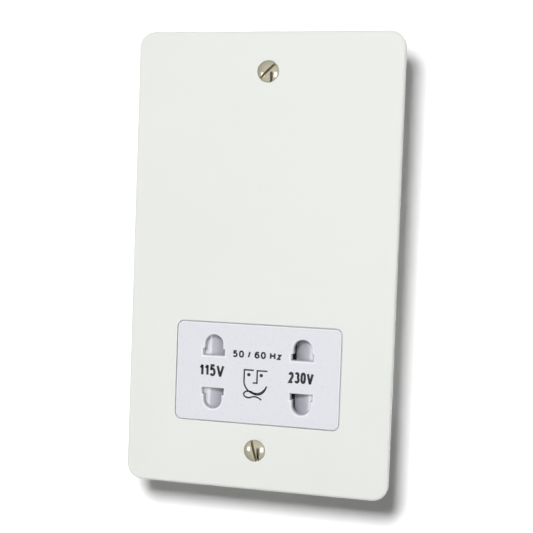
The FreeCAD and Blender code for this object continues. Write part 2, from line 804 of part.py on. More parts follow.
def studs():
    """Weld studs on the back of the plate."""
    reach = f"({BASE_BACK} + nut_height + stud_beyond)"
    socket = []
    for number, (x, z) in enumerate(socket_stud_places()):
        name = f"socket_stud_{number}"
        socket.append(rod(name, "y", "stud_width", f"{reach} - {SKIN_BACK}", x, SKIN_BACK, z))
    group("socket_studs", *socket)
    reach = "(housing_back + nut_height + stud_beyond)"
    core = []
    for number, (x, z) in enumerate(core_stud_places()):
        name = f"core_stud_{number}"
        core.append(rod(name, "y", "stud_width", f"{reach} - {SKIN_BACK}", x, SKIN_BACK, z))
    group("core_studs", *core)
    length = "tag_metal + nut_height + stud_beyond"
    earth = rod("earth_stud", "y", "stud_width", length, "earth_stud_x", SKIN_BACK, "-earth_stud_drop")
    node(earth, "earth_stud")


def nut(name, x, y, z):
    """Hexagon nut round a stud."""
    body = DOC.addObject("Part::Prism", name + "_blank")
    body.Placement = FreeCAD.Placement(FreeCAD.Vector(), turned("y"))
    place(body, x, y, z)
    body.Polygon = 6
    bind(body, "Circumradius", "nut_flats / sqrt(3)")
    bind(body, "Height", "nut_height")
    bore = rod(name + "_bore", "y", "stud_width + 2 * seat_gap", "nut_height + 2", x, f"{y} - 1", z)
    return cut(name, body, bore)


def stud_nuts():
    """Nuts on the outlet block, on the core, outside the housing and on the earth stud."""
    places = [(x, BASE_BACK, z) for x, z in socket_stud_places()]
    places += [(x, CORE_BACK, z) for x, z in core_stud_places()]
    places += [(x, "housing_back", z) for x, z in core_stud_places()]
    places.append(("earth_stud_x", f"{SKIN_BACK} + tag_metal", "-earth_stud_drop"))
    nuts = [nut(f"nut_{number}", *where) for number, where in enumerate(places)]
    group("stud_nuts", *nuts)


def core_spacers():
    """Sleeves that hold the core off the plate."""
    sleeves = []
    length = f"core_front - {SKIN_BACK}"
    for number, (x, z) in enumerate(core_stud_places()):
        name = f"spacer_{number}"
        tube = rod(name + "_tube", "y", "spacer_width", length, x, SKIN_BACK, z)
        bore = rod(name + "_bore", "y", "stud_width + stud_play", f"{length} + 2", x, f"{SKIN_BACK} - 1", z)
        sleeves.append(cut(name, tube, bore))
    group("core_spacers", *sleeves)


def core():
    """Laminated core: a stack of E plates and a stack of I plates."""
    half_x, half_z = "core_width / 2", "core_height / 2"
    y = ("core_front", CORE_BACK)
    window = f"({half_x} - core_yoke)"
    whole_z = (f"core_rise - {half_z}", f"core_rise + {half_z}")
    yoke = block("core_yoke", (f"-{half_x}", f"-{window}"), y, whole_z)
    legs = [yoke]
    spans = {
        "low": (f"core_rise - {half_z}", f"core_rise - {half_z} + core_leg"),
        "middle": ("core_rise - core_leg", "core_rise + core_leg"),
        "high": (f"core_rise + {half_z} - core_leg", f"core_rise + {half_z}"),
    }
    for name, span in spans.items():
        legs.append(block(f"core_leg_{name}", (f"-{window}", window), y, span))
    bar = block("core_bar", (window, half_x), y, whole_z)
    holes = []
    for number, (x, z) in enumerate(core_stud_places()):
        bore = rod(
            f"core_hole_{number}", "y", "stud_width + stud_play", "core_stack + 2", x, "core_front - 1", z
        )
        holes.append(bore)
    node(cut("core_e_stack", fuse("core_e", *legs), holes[0]), "core_e_stack")
    node(cut("core_i_stack", bar, holes[1]), "core_i_stack")


def bobbin():
    """Split former with a flange at each end and one between the windings."""
    inner_y = "(core_stack / 2 + bobbin_gap)"
    inner_z = "(core_leg + bobbin_gap)"
    half_x = "(core_width / 2 - core_yoke - bobbin_gap)"

    def span(middle, half):
        return f"{middle} - ({half})", f"{middle} + ({half})"

    tube = block(
        "bobbin_tube",
        (f"-{half_x}", half_x),
        span(CORE_Y, f"{inner_y} + bobbin_wall"),
        span("core_rise", f"{inner_z} + bobbin_wall"),
    )
    parts = [tube]
    places = {
        "left": (f"-{half_x}", f"-{half_x} + flange_wall"),
        "middle": ("-flange_wall / 2", "flange_wall / 2"),
        "right": (f"{half_x} - flange_wall", half_x),
    }
    for name, x in places.items():
        flange = block(f"bobbin_{name}", x, span(CORE_Y, "flange_y"), span("core_rise", "flange_z"))
        parts.append(flange)
    bore = block(
        "bobbin_bore", (f"-{half_x} - 1", f"{half_x} + 1"), span(CORE_Y, inner_y), span("core_rise", inner_z)
    )
    node(cut("bobbin", fuse("bobbin_solid", *parts), bore), "bobbin")


def winding(name, start):
    """Copper winding wrapped in tape between two flanges of the bobbin."""
    tube_y = "(core_stack / 2 + bobbin_gap + bobbin_wall)"
    tube_z = "(core_leg + bobbin_gap + bobbin_wall)"
    body = new_body(name, start, CORE_Y, "core_rise")
    ring = sketch_on(body, name + "_ring", "YZ_Plane")
    add_round_rectangle(
        ring, f"2 * ({tube_y} + winding_build)", f"2 * ({tube_z} + winding_rise)", "winding_round"
    )
    add_rectangle(ring, f"2 * {tube_y}", f"2 * {tube_z}")
    pad(body, name + "_pad", ring, "core_width / 2 - core_yoke - bobbin_gap - 1.5 * flange_wall")


def windings():
    """Mains winding on the left, shaver winding on the right."""
    winding("primary_winding", "-(core_width / 2 - core_yoke - bobbin_gap - flange_wall)")
    winding("secondary_winding", "flange_wall / 2")


def bobbin_pins():
    """Square solder pins under the flanges of the bobbin."""
    x = "(core_width / 2 - core_yoke - bobbin_gap - flange_wall / 2)"
    top = "(core_rise - flange_z)"
    half = "pin_width / 2"
    pins = []
    places = [(f"(-{x})", "mains_pin"), ("0", "mains_pin")]
    places += [(x, f"(-outlet_pin - {step} * pin_pitch)") for step in range(3)]
    for number, (across, depth) in enumerate(places):
        y = f"({CORE_Y} + {depth})"
        pin = block(
            f"pin_{number}",
            (f"{across} - {half}", f"{across} + {half}"),
            (f"{y} - {half}", f"{y} + {half}"),
            (f"{top} - pin_length", top),
        )
        pins.append(pin)
    group("bobbin_pins", *pins)


def thermal_cutout():
    """Thermal cut-out capsule on the back of the mains winding."""
    back = f"({CORE_Y} + core_stack / 2 + bobbin_gap + bobbin_wall + winding_build)"
    x = "-(core_width / 2 - core_yoke) / 2"
    body = new_body("thermal_cutout", x, back, "core_rise")
    outline = sketch_on(body, "cutout_outline", "XZ_Plane", offset="-cutout_thick")
    add_round_rectangle(outline, "cutout_width", "cutout_height", "nose_round")
    pad(body, "cutout_pad", outline, "cutout_thick")


def pole_places():
    """Middles of the three mains poles along X."""
    return (("live", "(-terminal_pitch)"), ("neutral", "0"), ("earth", "earth_pole"))


def terminal_block():
    """Insulating block with three pockets for the clamps."""
    low, high = TERMINAL_LOW, f"({TERMINAL_LOW} + terminal_height)"
    left, right = "(-terminal_pitch - terminal_side)", "(earth_pole + terminal_side)"
    parts = [block("terminal_body", (left, right), (TERMINAL_FRONT, TERMINAL_BACK), (low, high))]
    for name, x in (("left", (left, f"{left} + leg_width")), ("right", (f"{right} - leg_width", right))):
        rise = (f"{low} + leg_inset", f"{high} - leg_inset")
        parts.append(block(f"terminal_leg_{name}", x, (BASE_BACK, TERMINAL_FRONT), rise))
    tools = []
    for name, x in pole_places():
        pocket_box = block(
            f"{name}_pocket",
            (f"{x} - clamp_size / 2 - clamp_gap", f"{x} + clamp_size / 2 + clamp_gap"),
            (f"{TERMINAL_BACK} - clamp_sunk - clamp_size", f"{TERMINAL_BACK} + 1"),
            (f"{CLAMP_Z} - clamp_height / 2 - clamp_gap", f"{CLAMP_Z} + clamp_height / 2 + clamp_gap"),
        )
        entry = rod(f"{name}_entry", "z", "entry_width", f"{CLAMP_Z} - {low}", x, CLAMP_Y, f"{low} - 1")
        slot = block(
            f"{name}_lead_slot",
            (f"{x} - lead_slot / 2", f"{x} + lead_slot / 2"),
            (f"{CLAMP_Y} - lead_slot / 2", f"{CLAMP_Y} + lead_slot / 2"),
            (CLAMP_Z, f"{high} + 1"),
        )
        tools += [pocket_box, entry, slot]
    node(cut("terminal_block", fuse("terminal_solid", *parts), *tools), "terminal_block")


def terminal_clamps():
    """Brass clamps, one for each mains pole."""
    clamps = []
    for name, x in pole_places():
        body = block(
            f"{name}_clamp_body",
            (f"{x} - clamp_size / 2", f"{x} + clamp_size / 2"),
            (f"{TERMINAL_BACK} - clamp_sunk - clamp_size", f"{TERMINAL_BACK} - clamp_sunk"),
            (f"{CLAMP_Z} - clamp_height / 2", f"{CLAMP_Z} + clamp_height / 2"),
        )
        bore = rod(
            f"{name}_wire_bore",
            "z",
            "clamp_bore",
            "clamp_height + 2",
            x,
            CLAMP_Y,
            f"{CLAMP_Z} - clamp_height / 2 - 1",
        )
        thread = rod(
            f"{name}_thread", "y", "grub_thread + 2 * seat_gap", "clamp_size", x, CLAMP_Y, CLAMP_Z
        )
        clamps.append(cut(f"{name}_clamp", body, bore, thread))
    group("terminal_clamps", *clamps)


def terminal_screws():
    """Slotted screws of the clamps."""
    screws = []
    seat = f"{TERMINAL_BACK} - clamp_sunk"
    for name, x in pole_places():
        head = rod(f"{name}_head", "y", "grub_head", "clamp_sunk - 0.3", x, seat, CLAMP_Z)
        shank = rod(f"{name}_shank", "y", "grub_thread", "clamp_size / 2 - clamp_bore / 2", x,
                    f"{CLAMP_Y} + clamp_bore / 2", CLAMP_Z)
        slot = block(
            f"{name}_slot",
            (f"{x} - grub_head", f"{x} + grub_head"),
            (f"{seat} + clamp_sunk / 2", f"{seat} + clamp_sunk + 1"),
            (f"{CLAMP_Z} - grub_slot / 2", f"{CLAMP_Z} + grub_slot / 2"),
        )
        screws.append(cut(f"{name}_screw", fuse(f"{name}_turned", head, shank), slot))
    group("terminal_screws", *screws)


def rear_housing():
    """Moulded box behind the plate with vents and a bay for the mains terminals."""
    middle = "((housing_top - housing_bottom) / 2)"
    tall = "(housing_top + housing_bottom)"
    body = new_body("rear_housing", z=middle)
    outline = sketch_on(body, "housing_outline", "XZ_Plane", offset="-housing_back")
    add_round_rectangle(outline, "housing_width", tall, "housing_round")
    pad(body, "housing_pad", outline, f"housing_back - {SKIN_BACK}")
    inside = sketch_on(body, "housing_inside", "XZ_Plane", offset=f"-{SKIN_BACK}")
    add_round_rectangle(
        inside,
        "housing_width - 2 * housing_wall",
        f"{tall} - 2 * housing_wall",
        "housing_round - housing_wall",
    )
    pocket(body, "housing_room", inside, f"housing_back - housing_wall - {SKIN_BACK}")
    bay_tall = "(housing_bottom - bay_top)"
    bay = sketch_on(
        body, "bay_outline", "XZ_Plane", offset="-bay_front", y=f"-{tall} / 2 + {bay_tall} / 2 - 1"
    )
    add_rectangle(bay, "bay_width", f"{bay_tall} + 2")
    pocket(body, "bay", bay, "housing_back - bay_front + 1")
    for name, x, z in (("upper", "-", "+"), ("lower", "", "-")):
        passage = sketch_on(
            body,
            f"housing_{name}_stud",
            "XZ_Plane",
            offset="-(housing_back - housing_wall)",
            x=f"{x}{CORE_STUD_X}",
            y=f"core_rise - {middle} {z} {CORE_STUD_Z}",
        )
        add_circle(passage, "stud_width + stud_play")
        pocket(body, f"{name}_passage", passage, "housing_wall + 1")
    vent = sketch_on(
        body,
        "vent_outline",
        "XZ_Plane",
        offset="-(housing_back - housing_wall)",
        x="-vent_pitch * (vent_count - 1) / 2",
        y=f"core_rise - {middle}",
    )
    add_rectangle(vent, "vent_width", "vent_height")
    first = pocket(body, "vent", vent, "housing_wall + 1")
    row = body.newObject("PartDesign::LinearPattern", "vent_row")
    row.Originals = [first]
    row.Direction = (vent, ["H_Axis"])
    bind(row, "Length", "vent_pitch * (vent_count - 1)")
    bind(row, "Occurrences", "vent_count")
    body.Tip = row
    DOC.recompute()


def earth_tag():
    """Solder tag clamped to the plate by the earth stud's nut."""
    z = "(-earth_stud_drop)"
    y = (SKIN_BACK, f"{SKIN_BACK} + tag_metal")
    ring = rod("tag_ring", "y", "tag_width", "tag_metal", "earth_stud_x", SKIN_BACK, z)
    rise = (f"{z} - tag_width / 4", f"{z} + tag_width / 4")
    strip = block("tag_strip", ("earth_stud_x", "tag_end_x"), y, rise)
    width, length = "stud_width + stud_play", "tag_metal + 2"
    bore = rod("tag_bore", "y", width, length, "earth_stud_x", f"{SKIN_BACK} - 1", z)
    node(cut("earth_tag", fuse("tag_blank", ring, strip), bore), "earth_tag")


def lead_route(points, bend):
    """Straight runs through the points, joined by tangent arcs."""
    corners = [FreeCAD.Vector(*point) for point in points]
    edges = []
    here = corners[0]
    for before, corner, after in zip(corners, corners[1:], corners[2:]):
        back = (before - corner).normalize()
        ahead = (after - corner).normalize()
        opening = back.getAngle(ahead)
        reach = bend / math.tan(opening / 2)
        first, last = corner + back * reach, corner + ahead * reach
        inward = (back + ahead).normalize()
        middle = corner + inward * (bend / math.sin(opening / 2) - bend)
        edges.append(Part.LineSegment(here, first).toShape())
        edges.append(Part.Arc(first, middle, last).toShape())
        here = last
    edges.append(Part.LineSegment(here, corners[-1]).toShape())
    return Part.Wire(edges)


def lead(name, points, bend=1.5):
    """Insulated wire along chosen points."""
    route = DOC.addObject("Part::Feature", name + "_route")
    route.Shape = lead_route(points, bend)
    first = FreeCAD.Vector(*points[0])
    ahead = FreeCAD.Vector(*points[1]) - first
    end = DOC.addObject("Part::Circle", name + "_end")
    end.Placement = FreeCAD.Placement(first, FreeCAD.Rotation(FreeCAD.Vector(0, 0, 1), ahead))
    bind(end, "Radius", "lead_width / 2")
    tube = DOC.addObject("Part::Sweep", name)
    tube.Sections = [end]
    tube.Spine = (route, [f"Edge{index}" for index in range(1, len(route.Shape.Edges) + 1)])
    tube.Solid = True
    tube.Frenet = False
    tube.Transition = "Right corner"
    node(tube, name)


def solid_boxes(label):
    """Bounding boxes of the solids of a finished sub-part, from left to right."""
    part = next(part for part in NODES if part.Label == label)
    return sorted((solid.BoundBox for solid in part.Shape.Solids), key=lambda box: (box.XMin, box.YMin))


def leads():
    """The wires between the terminals, the transformer, the contacts and the earth tag."""
    DOC.recompute()
    clamps = solid_boxes("terminal_clamps")
    pins = solid_boxes("bobbin_pins")
    ends = [(pin.Center.x, pin.Center.y, pin.ZMin) for pin in pins]
    for name, clamp, end in (("live_lead", clamps[0], ends[0]), ("neutral_lead", clamps[1], ends[1])):
        lead(name, [(clamp.Center.x, clamp.Center.y, clamp.Center.z + 1.8), end])
    earth, tag = clamps[2].Center, solid_boxes("earth_tag")[0]
    bend = (earth.x, earth.y, tag.Center.z)
    lead("earth_lead", [(earth.x, earth.y, earth.z + 1.8), bend, (earth.x, tag.YMax, tag.Center.z)])
    routes = (
        ("common_lead", "common_contact", ends[2], 4.3, 0, 0.55),
        ("lead_115v", "contact_115v", ends[3], 1.5, 0.5, 0.8),
        ("lead_230v", "contact_230v", ends[4], 4.3, -0.1, 0.1),
    )
    for name, contact, pin, below, aside, short in routes:
        riser = solid_boxes(contact)[0]
        level = riser.ZMax - below
        face = riser.YMax - SIZES["clip_metal"]
        lead(name, [pin, (pin[0], pin[1], level), (riser.Center.x + aside, face - short, level)])


def write_parts():
    """Check every object, then write one file for each sub-part."""
    DOC.recompute()
    for thing in DOC.Objects:
        if {"Invalid", "Error"} & set(thing.State):
            raise RuntimeError(f"{thing.Label}: {thing.State}")
    os.makedirs("parts", exist_ok=True)
    for part in NODES:
        shape = part.Shape
        if shape.isNull() or not shape.isValid() or shape.Volume <= 0:
            raise RuntimeError(f"{part.Label}: bad shape")
        shape.exportStep(f"parts/{part.Label}.step")
        print(f"{part.Label}: {len(shape.Solids)} solid, {shape.Volume:.1f} mm3")


make_sheet()
front_plate()
fixing_screws()
socket_cover()
shutter_slider()
shutter_spring("shutter_spring_left", 180)
shutter_spring("shutter_spring_right", 0)
contact_carrier()
contacts()
carrier_base()
studs()
stud_nuts()
core_spacers()
core()
bobbin()
windings()
bobbin_pins()
thermal_cutout()
terminal_block()
terminal_clamps()
terminal_screws()
rear_housing()
earth_tag()
leads()
write_parts()
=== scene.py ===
"""Looks of a two-voltage shaver socket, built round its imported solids."""

import logging
import math
from dataclasses import dataclass, field
from enum import Enum

import bmesh
import bpy
from mathutils import Matrix, Vector


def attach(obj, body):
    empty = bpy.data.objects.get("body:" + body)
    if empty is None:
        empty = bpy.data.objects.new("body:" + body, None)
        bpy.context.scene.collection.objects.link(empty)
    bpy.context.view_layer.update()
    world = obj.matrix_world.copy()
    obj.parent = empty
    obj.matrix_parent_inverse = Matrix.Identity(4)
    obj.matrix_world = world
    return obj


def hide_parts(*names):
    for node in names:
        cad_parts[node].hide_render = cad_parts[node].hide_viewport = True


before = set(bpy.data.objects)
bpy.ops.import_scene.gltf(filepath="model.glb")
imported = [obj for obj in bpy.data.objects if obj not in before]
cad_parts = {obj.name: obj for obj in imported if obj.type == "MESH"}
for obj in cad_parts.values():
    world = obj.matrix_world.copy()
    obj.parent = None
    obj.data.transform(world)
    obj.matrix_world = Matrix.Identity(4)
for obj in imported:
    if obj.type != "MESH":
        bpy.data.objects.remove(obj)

LOG = logging.getLogger("shaver_socket")
MM = 0.001
SOCKET = "socket"
SHUTTER = "shutter"
NOISE_SPAN = (0.3, 0.7)
CORNER_STEPS = 10
SAME_PLACE = 2e-6
FLAT_DEGREES = 0.5
EASED_DEGREES = 40
WHITE = (1.0, 1.0, 1.0, 1.0)
Pair = tuple[float, float]
Triple = tuple[float, float, float]
Colour = Triple
Outline = list[Pair]
Ring = list[bmesh.types.BMVert]
Signal = bpy.types.NodeSocket
Material = bpy.types.Material
Piece = bpy.types.Object
Feeds = dict[str | int, object]


# Finishes


class Axis(Enum):
    """Directions that a grain or a stack of layers can follow."""

    ACROSS = "X"
    DEPTH = "Y"
    UPRIGHT = "Z"


class Nodes:
    """Node tree of a material or a world, with short calls for the nodes used here."""

    def __init__(self, owner: Material | bpy.types.World) -> None:
        """Start with an empty tree.

        Args:
            owner: The material or world.
        """
        owner.use_nodes = True
        self.tree = owner.node_tree
        self.tree.nodes.clear()

    def feed(self, target: Signal, value: object) -> None:
        """Link an input to a socket or to a node's first output, or set it to a plain value.

        Args:
            target: The input.
            value: Socket, node or plain value.
        """
        if isinstance(value, bpy.types.Node):
            value = value.outputs[0]
        if isinstance(value, Signal):
            self.tree.links.new(value, target)
        else:
            target.default_value = value

    def add(self, kind: str, feeds: Feeds | None = None, **settings: object) -> bpy.types.Node:
        """Add a node.

        Args:
            kind: Type name of the node.
            feeds: What its inputs get, by name or number.
            **settings: Properties of the node.

        Returns:
            The new node.
        """
        node = self.tree.nodes.new(kind)
        for key, value in settings.items():
            setattr(node, key, value)
        for key, value in (feeds or {}).items():
            self.feed(node.inputs[key], value)
        return node

    def maths(self, operation: str, *values: Signal | float) -> Signal:
        """Work values out in turn, each with the result so far.

        Args:
            operation: Name of the operation.
            *values: Sockets or numbers.

        Returns:
            The last result.
        """
        result = values[0]
        for value in values[1:]:
            result = self.add("ShaderNodeMath", {0: result, 1: value}, operation=operation).outputs[0]
        return result

    def remap(self, source: Signal, start: float, end: float, low: float = 0.0, high: float = 1.0) -> Signal:
        """Map a value's range from start to end onto the one from low to high."""
        feeds = {"Value": source, "From Min": start, "From Max": end, "To Min": low, "To Max": high}
        return self.add("ShaderNodeMapRange", feeds).outputs["Result"]


class Recipe(Nodes):
    """Node tree of one material, built round a principled shader."""

    def __init__(self, name: str) -> None:
        """Start a material.

        Args:
            name: Name of the material.
        """
        self.material = bpy.data.materials.new(name)
        super().__init__(self.material)
        self.shader = self.add("ShaderNodeBsdfPrincipled")
        self.output = self.add("ShaderNodeOutputMaterial", {"Surface": self.shader})
        self.place = self.add("ShaderNodeTexCoord").outputs["Object"]

    def still(self, **values: float) -> None:
        """Set plain values on the shader's own sockets.

        Args:
            **values: Socket names with underscores for spaces, and their values.
        """
        for key, value in values.items():
            self.shader.inputs[key.replace("_", " ")].default_value = value

    def noise(self, per_mm: float, detail: float = 2.0, stretch: Triple = (1.0, 1.0, 1.0)) -> Signal:
        """Noise over the surface.

        Args:
            per_mm: Cells in a millimetre.
            detail: Octaves of the noise.
            stretch: Factor for each axis.

        Returns:
            The noise value, about 0.3 to 0.7.
        """
        mapping = self.add("ShaderNodeMapping", {"Vector": self.place, "Scale": stretch})
        feeds = {"Vector": mapping, "Scale": per_mm / MM, "Detail": detail}
        return self.add("ShaderNodeTexNoise", feeds).outputs["Fac"]

    def bands(self, pitch_mm: float, axis: Axis, wobble: float) -> Signal:
        """Soft parallel bands, as of layers in a stack.

        Args:
            pitch_mm: Distance from one band to the next.
            axis: Direction that the bands follow one another in.
            wobble: How far the bands wander.

        Returns:
            The band value from 0 to 1.
        """
        scale = math.pi / 10 / (pitch_mm * MM)
        feeds = {"Vector": self.place, "Scale": scale, "Distortion": wobble, "Detail Scale": 2.0}
        return self.add("ShaderNodeTexWave", feeds, bands_direction=axis.value).outputs["Fac"]

    def tones(
        self, source: Signal, colour: Colour, *factors: float, stops: tuple[float, ...] = NOISE_SPAN
    ) -> Signal:
        """Darker to lighter tones of a colour along a value.

        Args:
            source: The value.
            colour: The colour.
            *factors: Factor on the colour at each stop.
            stops: Value at each stop.

        Returns:
            The toned colour.
        """
        node = self.add("ShaderNodeValToRGB", {"Fac": source})
        elements = node.color_ramp.elements
        while len(elements) < len(stops):
            elements.new(0.5)
        for element, place, factor in zip(elements, stops, factors):
            element.position = place
            element.color = (*(min(1.0, part * factor) for part in colour), 1.0)
        return node.outputs["Color"]

    def mixed(self, share: Signal, first: Signal, second: Signal) -> Signal:
        """Mix two colours by the share of the second."""
        return self.add("ShaderNodeMix", {0: share, 6: first, 7: second}, data_type="RGBA").outputs[2]

    def split(self, axis: Axis) -> Signal:
        """One coordinate of the surface point, in metres."""
        return self.add("ShaderNodeSeparateXYZ", {0: self.place}).outputs[axis.value]

    def colour(self, source: Signal) -> None:
        """Use a colour for the surface."""
        self.feed(self.shader.inputs["Base Color"], source)

    def rough(self, source: Signal, low: float, high: float) -> None:
        """Let the roughness follow a noise value from low to high."""
        self.feed(self.shader.inputs["Roughness"], self.remap(source, *NOISE_SPAN, low, high))

    def bumps(self, *layers: tuple[Signal, float, float]) -> None:
        """Raise the surface by one or more heights.

        Args:
            *layers: Height, strength and depth in millimetres of each layer.
        """
        feeds = {}
        for height, strength, depth_mm in layers:
            feeds |= {"Height": height, "Strength": strength, "Distance": depth_mm * MM}
            feeds["Normal"] = self.add("ShaderNodeBump", feeds).outputs["Normal"]
        self.feed(self.shader.inputs["Normal"], feeds["Normal"])


@dataclass(frozen=True)
class Finish:
    """What a surface is called and its main colour; each kind paints its own material."""

    name: str
    tone: Colour

    def material(self) -> Material:
        """Build the material.

        Returns:
            The material.
        """
        recipe = Recipe(self.name)
        self.paint(recipe)
        return recipe.material

    def paint(self, recipe: Recipe) -> None:
        """Give a recipe its colour, roughness and relief."""
        raise NotImplementedError


@dataclass(frozen=True)
class SatinCoat(Finish):
    """Baked coat on pressed steel: faint orange peel, and a slightly darker tone low down that is painted
    shade.
    """

    peel_mm: float = 0.9
    low_shade_span: Pair = (-0.073, 0.02)
    low_shade_share: Pair = (0.75, 0.35)

    def paint(self, recipe: Recipe) -> None:
        """Paint the coat.

        Args:
            recipe: Tree that takes the nodes.
        """
        speck = recipe.noise(2.6, 3.0)
        cloud = recipe.noise(0.03, 1.0)
        # Painted shade: the mix leans to the darker cloud tones towards the bottom of the plate.
        share = recipe.remap(recipe.split(Axis.UPRIGHT), *self.low_shade_span, *self.low_shade_share)
        fine = recipe.tones(speck, self.tone, 0.985, 1.008)
        wide = recipe.tones(cloud, self.tone, 0.978, 1.005)
        recipe.colour(recipe.mixed(share, fine, wide))
        recipe.rough(cloud, 0.3, 0.38)
        recipe.still(Specular_IOR_Level=0.42, Coat_Weight=0.12, Coat_Roughness=0.12)
        recipe.bumps((recipe.noise(1 / self.peel_mm, 1.0), 0.05, 0.05), (speck, 0.04, 0.02))


@dataclass(frozen=True)
class Moulding(Finish):
    """Moulded plastic: fine spark texture, slight clouding and a soft gloss."""

    roughness: float = 0.38
    grain_mm: float = 0.25
    grain_strength: float = 0.08
    mottle: float = 0.03
    sheen: float = 0.0
    cloud_per_mm: float = 0.12

    def paint(self, recipe: Recipe) -> None:
        """Paint the plastic.

        Args:
            recipe: Tree that takes the nodes.
        """
        cloud = recipe.noise(self.cloud_per_mm, 3.0)
        recipe.colour(recipe.tones(cloud, self.tone, 1 - self.mottle, 1 + self.mottle / 2))
        recipe.rough(cloud, self.roughness - 0.04, self.roughness + 0.04)
        recipe.still(Specular_IOR_Level=0.5, Coat_Weight=self.sheen, Coat_Roughness=0.1)
        recipe.bumps((recipe.noise(1 / self.grain_mm), self.grain_strength, 0.03), (cloud, 0.03, 0.2))


@dataclass(frozen=True)
class RampPlastic(Finish):
    """Glossy shutter plastic with painted shade: greyer towards the foot of its ramps, deeper in the recess.
    """

    shade_tone: Colour
    front: float = -0.0003
    foot: float = 0.0037

    def paint(self, recipe: Recipe) -> None:
        """Paint the plastic.

        Args:
            recipe: Tree that takes the nodes.
        """
        cloud = recipe.noise(0.5, 3.0)
        light = recipe.tones(cloud, self.tone, 0.97, 1.02)
        # Painted shade: the grey tone takes over with depth towards the foot of the ramps.
        dull = recipe.tones(cloud, self.shade_tone, 0.9, 1.08)
        depth = recipe.remap(recipe.split(Axis.DEPTH), self.front, self.foot)
        recipe.colour(recipe.mixed(depth, light, dull))
        recipe.rough(cloud, 0.12, 0.18)
        recipe.still(Specular_IOR_Level=0.6, Coat_Weight=0.9, Coat_Roughness=0.08)
        recipe.bumps((recipe.noise(2.5), 0.03, 0.03))


@dataclass(frozen=True)
class Metal(Finish):
    """Bare or plated metal with drawn lines, smudges and dull spots."""

    roughness: float = 0.25
    grain: Axis = Axis.DEPTH
    grain_strength: float = 0.12
    dulling: float = 0.12

    def paint(self, recipe: Recipe) -> None:
        """Paint the metal.

        Args:
            recipe: Tree that takes the nodes.
        """
        lines = recipe.noise(1.2, 3.0, tuple(0.3 if axis is self.grain else 6.0 for axis in Axis))
        smudge = recipe.noise(0.35, 3.0)
        bright = recipe.tones(smudge, self.tone, 1 - self.dulling, 1.04)
        dark = recipe.tones(lines, self.tone, 0.86, 1.02, stops=(0.25, 0.6))
        recipe.colour(recipe.mixed(lines, bright, dark))
        recipe.rough(smudge, self.roughness * 0.8, self.roughness * 1.35)
        recipe.still(Metallic=1.0)
        recipe.bumps((lines, self.grain_strength, 0.02))


@dataclass(frozen=True)
class LayeredStack(Finish):
    """Varnished core plates: one dark line for each plate, with brown varnish in patches."""

    varnish: Colour
    plate_mm: float = 0.5

    def paint(self, recipe: Recipe) -> None:
        """Paint the stack.

        Args:
            recipe: Tree that takes the nodes.
        """
        layers = recipe.bands(self.plate_mm, Axis.DEPTH, 0.15)
        patches = recipe.noise(0.25, 4.0)
        steel = recipe.tones(layers, self.tone, 0.35, 1.0, stops=(0.15, 0.7))
        coat = recipe.tones(layers, self.varnish, 0.4, 1.0, stops=(0.15, 0.7))
        share = recipe.tones(patches, WHITE[:3], 0.1, 0.85, stops=(0.4, 0.65))
        recipe.colour(recipe.mixed(share, steel, coat))
        recipe.rough(patches, 0.35, 0.6)
        recipe.still(Metallic=0.55, Coat_Weight=0.35, Coat_Roughness=0.25)
        recipe.bumps((layers, 0.5, 0.12), (patches, 0.1, 0.2))


@dataclass(frozen=True)
class WoundTape(Finish):
    """Tape in overlapping turns, with the wire under it showing as fine ribs."""

    wire: Colour

    def paint(self, recipe: Recipe) -> None:
        """Paint the tape.

        Args:
            recipe: Tree that takes the nodes.
        """
        ribs = recipe.bands(0.55, Axis.ACROSS, 0.3)
        laps = recipe.bands(5.5, Axis.UPRIGHT, 0.8)
        crease = recipe.noise(0.5, 4.0, (1.0, 1.0, 3.0))
        under = recipe.tones(ribs, self.wire, 0.5, 1.0, stops=(0.2, 0.7))
        over = recipe.tones(laps, self.tone, 0.7, 1.0, 1.1, stops=(0.1, 0.25, 0.9))
        share = recipe.tones(crease, WHITE[:3], 0.55, 0.85, stops=(0.35, 0.65))
        recipe.colour(recipe.mixed(share, under, over))
        recipe.rough(crease, 0.18, 0.4)
        recipe.still(Coat_Weight=0.5, Coat_Roughness=0.15)
        recipe.bumps((ribs, 0.35, 0.15), (laps, 0.3, 0.2), (crease, 0.2, 0.2))


@dataclass(frozen=True)
class Sleeve(Finish):
    """Smooth wire sleeve, plain or with a second colour along one side."""

    stripe: Colour | None = None
    stripe_from_x: float = 0.0
    stripe_blur: float = 0.00008

    def paint(self, recipe: Recipe) -> None:
        """Paint the sleeve.

        Args:
            recipe: Tree that takes the nodes.
        """
        cloud = recipe.noise(0.4)
        colour = recipe.tones(cloud, self.tone, 0.9, 1.06)
        if self.stripe is not None:
            second = recipe.tones(cloud, self.stripe, 0.92, 1.04)
            start = self.stripe_from_x
            side = recipe.remap(recipe.split(Axis.ACROSS), start, start + self.stripe_blur)
            colour = recipe.mixed(side, colour, second)
        recipe.colour(colour)
        recipe.rough(cloud, 0.26, 0.36)
        recipe.still(Coat_Weight=0.1)
        recipe.bumps((recipe.noise(3.0), 0.05, 0.03))


@dataclass(frozen=True)
class Board(Finish):
    """Pressed fibre board with a resin skin."""

    def paint(self, recipe: Recipe) -> None:
        """Paint the board.

        Args:
            recipe: Tree that takes the nodes.
        """
        fibre = recipe.noise(1.5, 5.0, (0.35, 1.0, 2.4))
        cloud = recipe.noise(0.15)
        thread = recipe.tones(fibre, self.tone, 0.72, 1.25)
        body = recipe.tones(cloud, self.tone, 0.85, 1.1)
        recipe.colour(recipe.mixed(cloud, thread, body))
        recipe.rough(fibre, 0.32, 0.5)
        recipe.bumps((fibre, 0.12, 0.05))


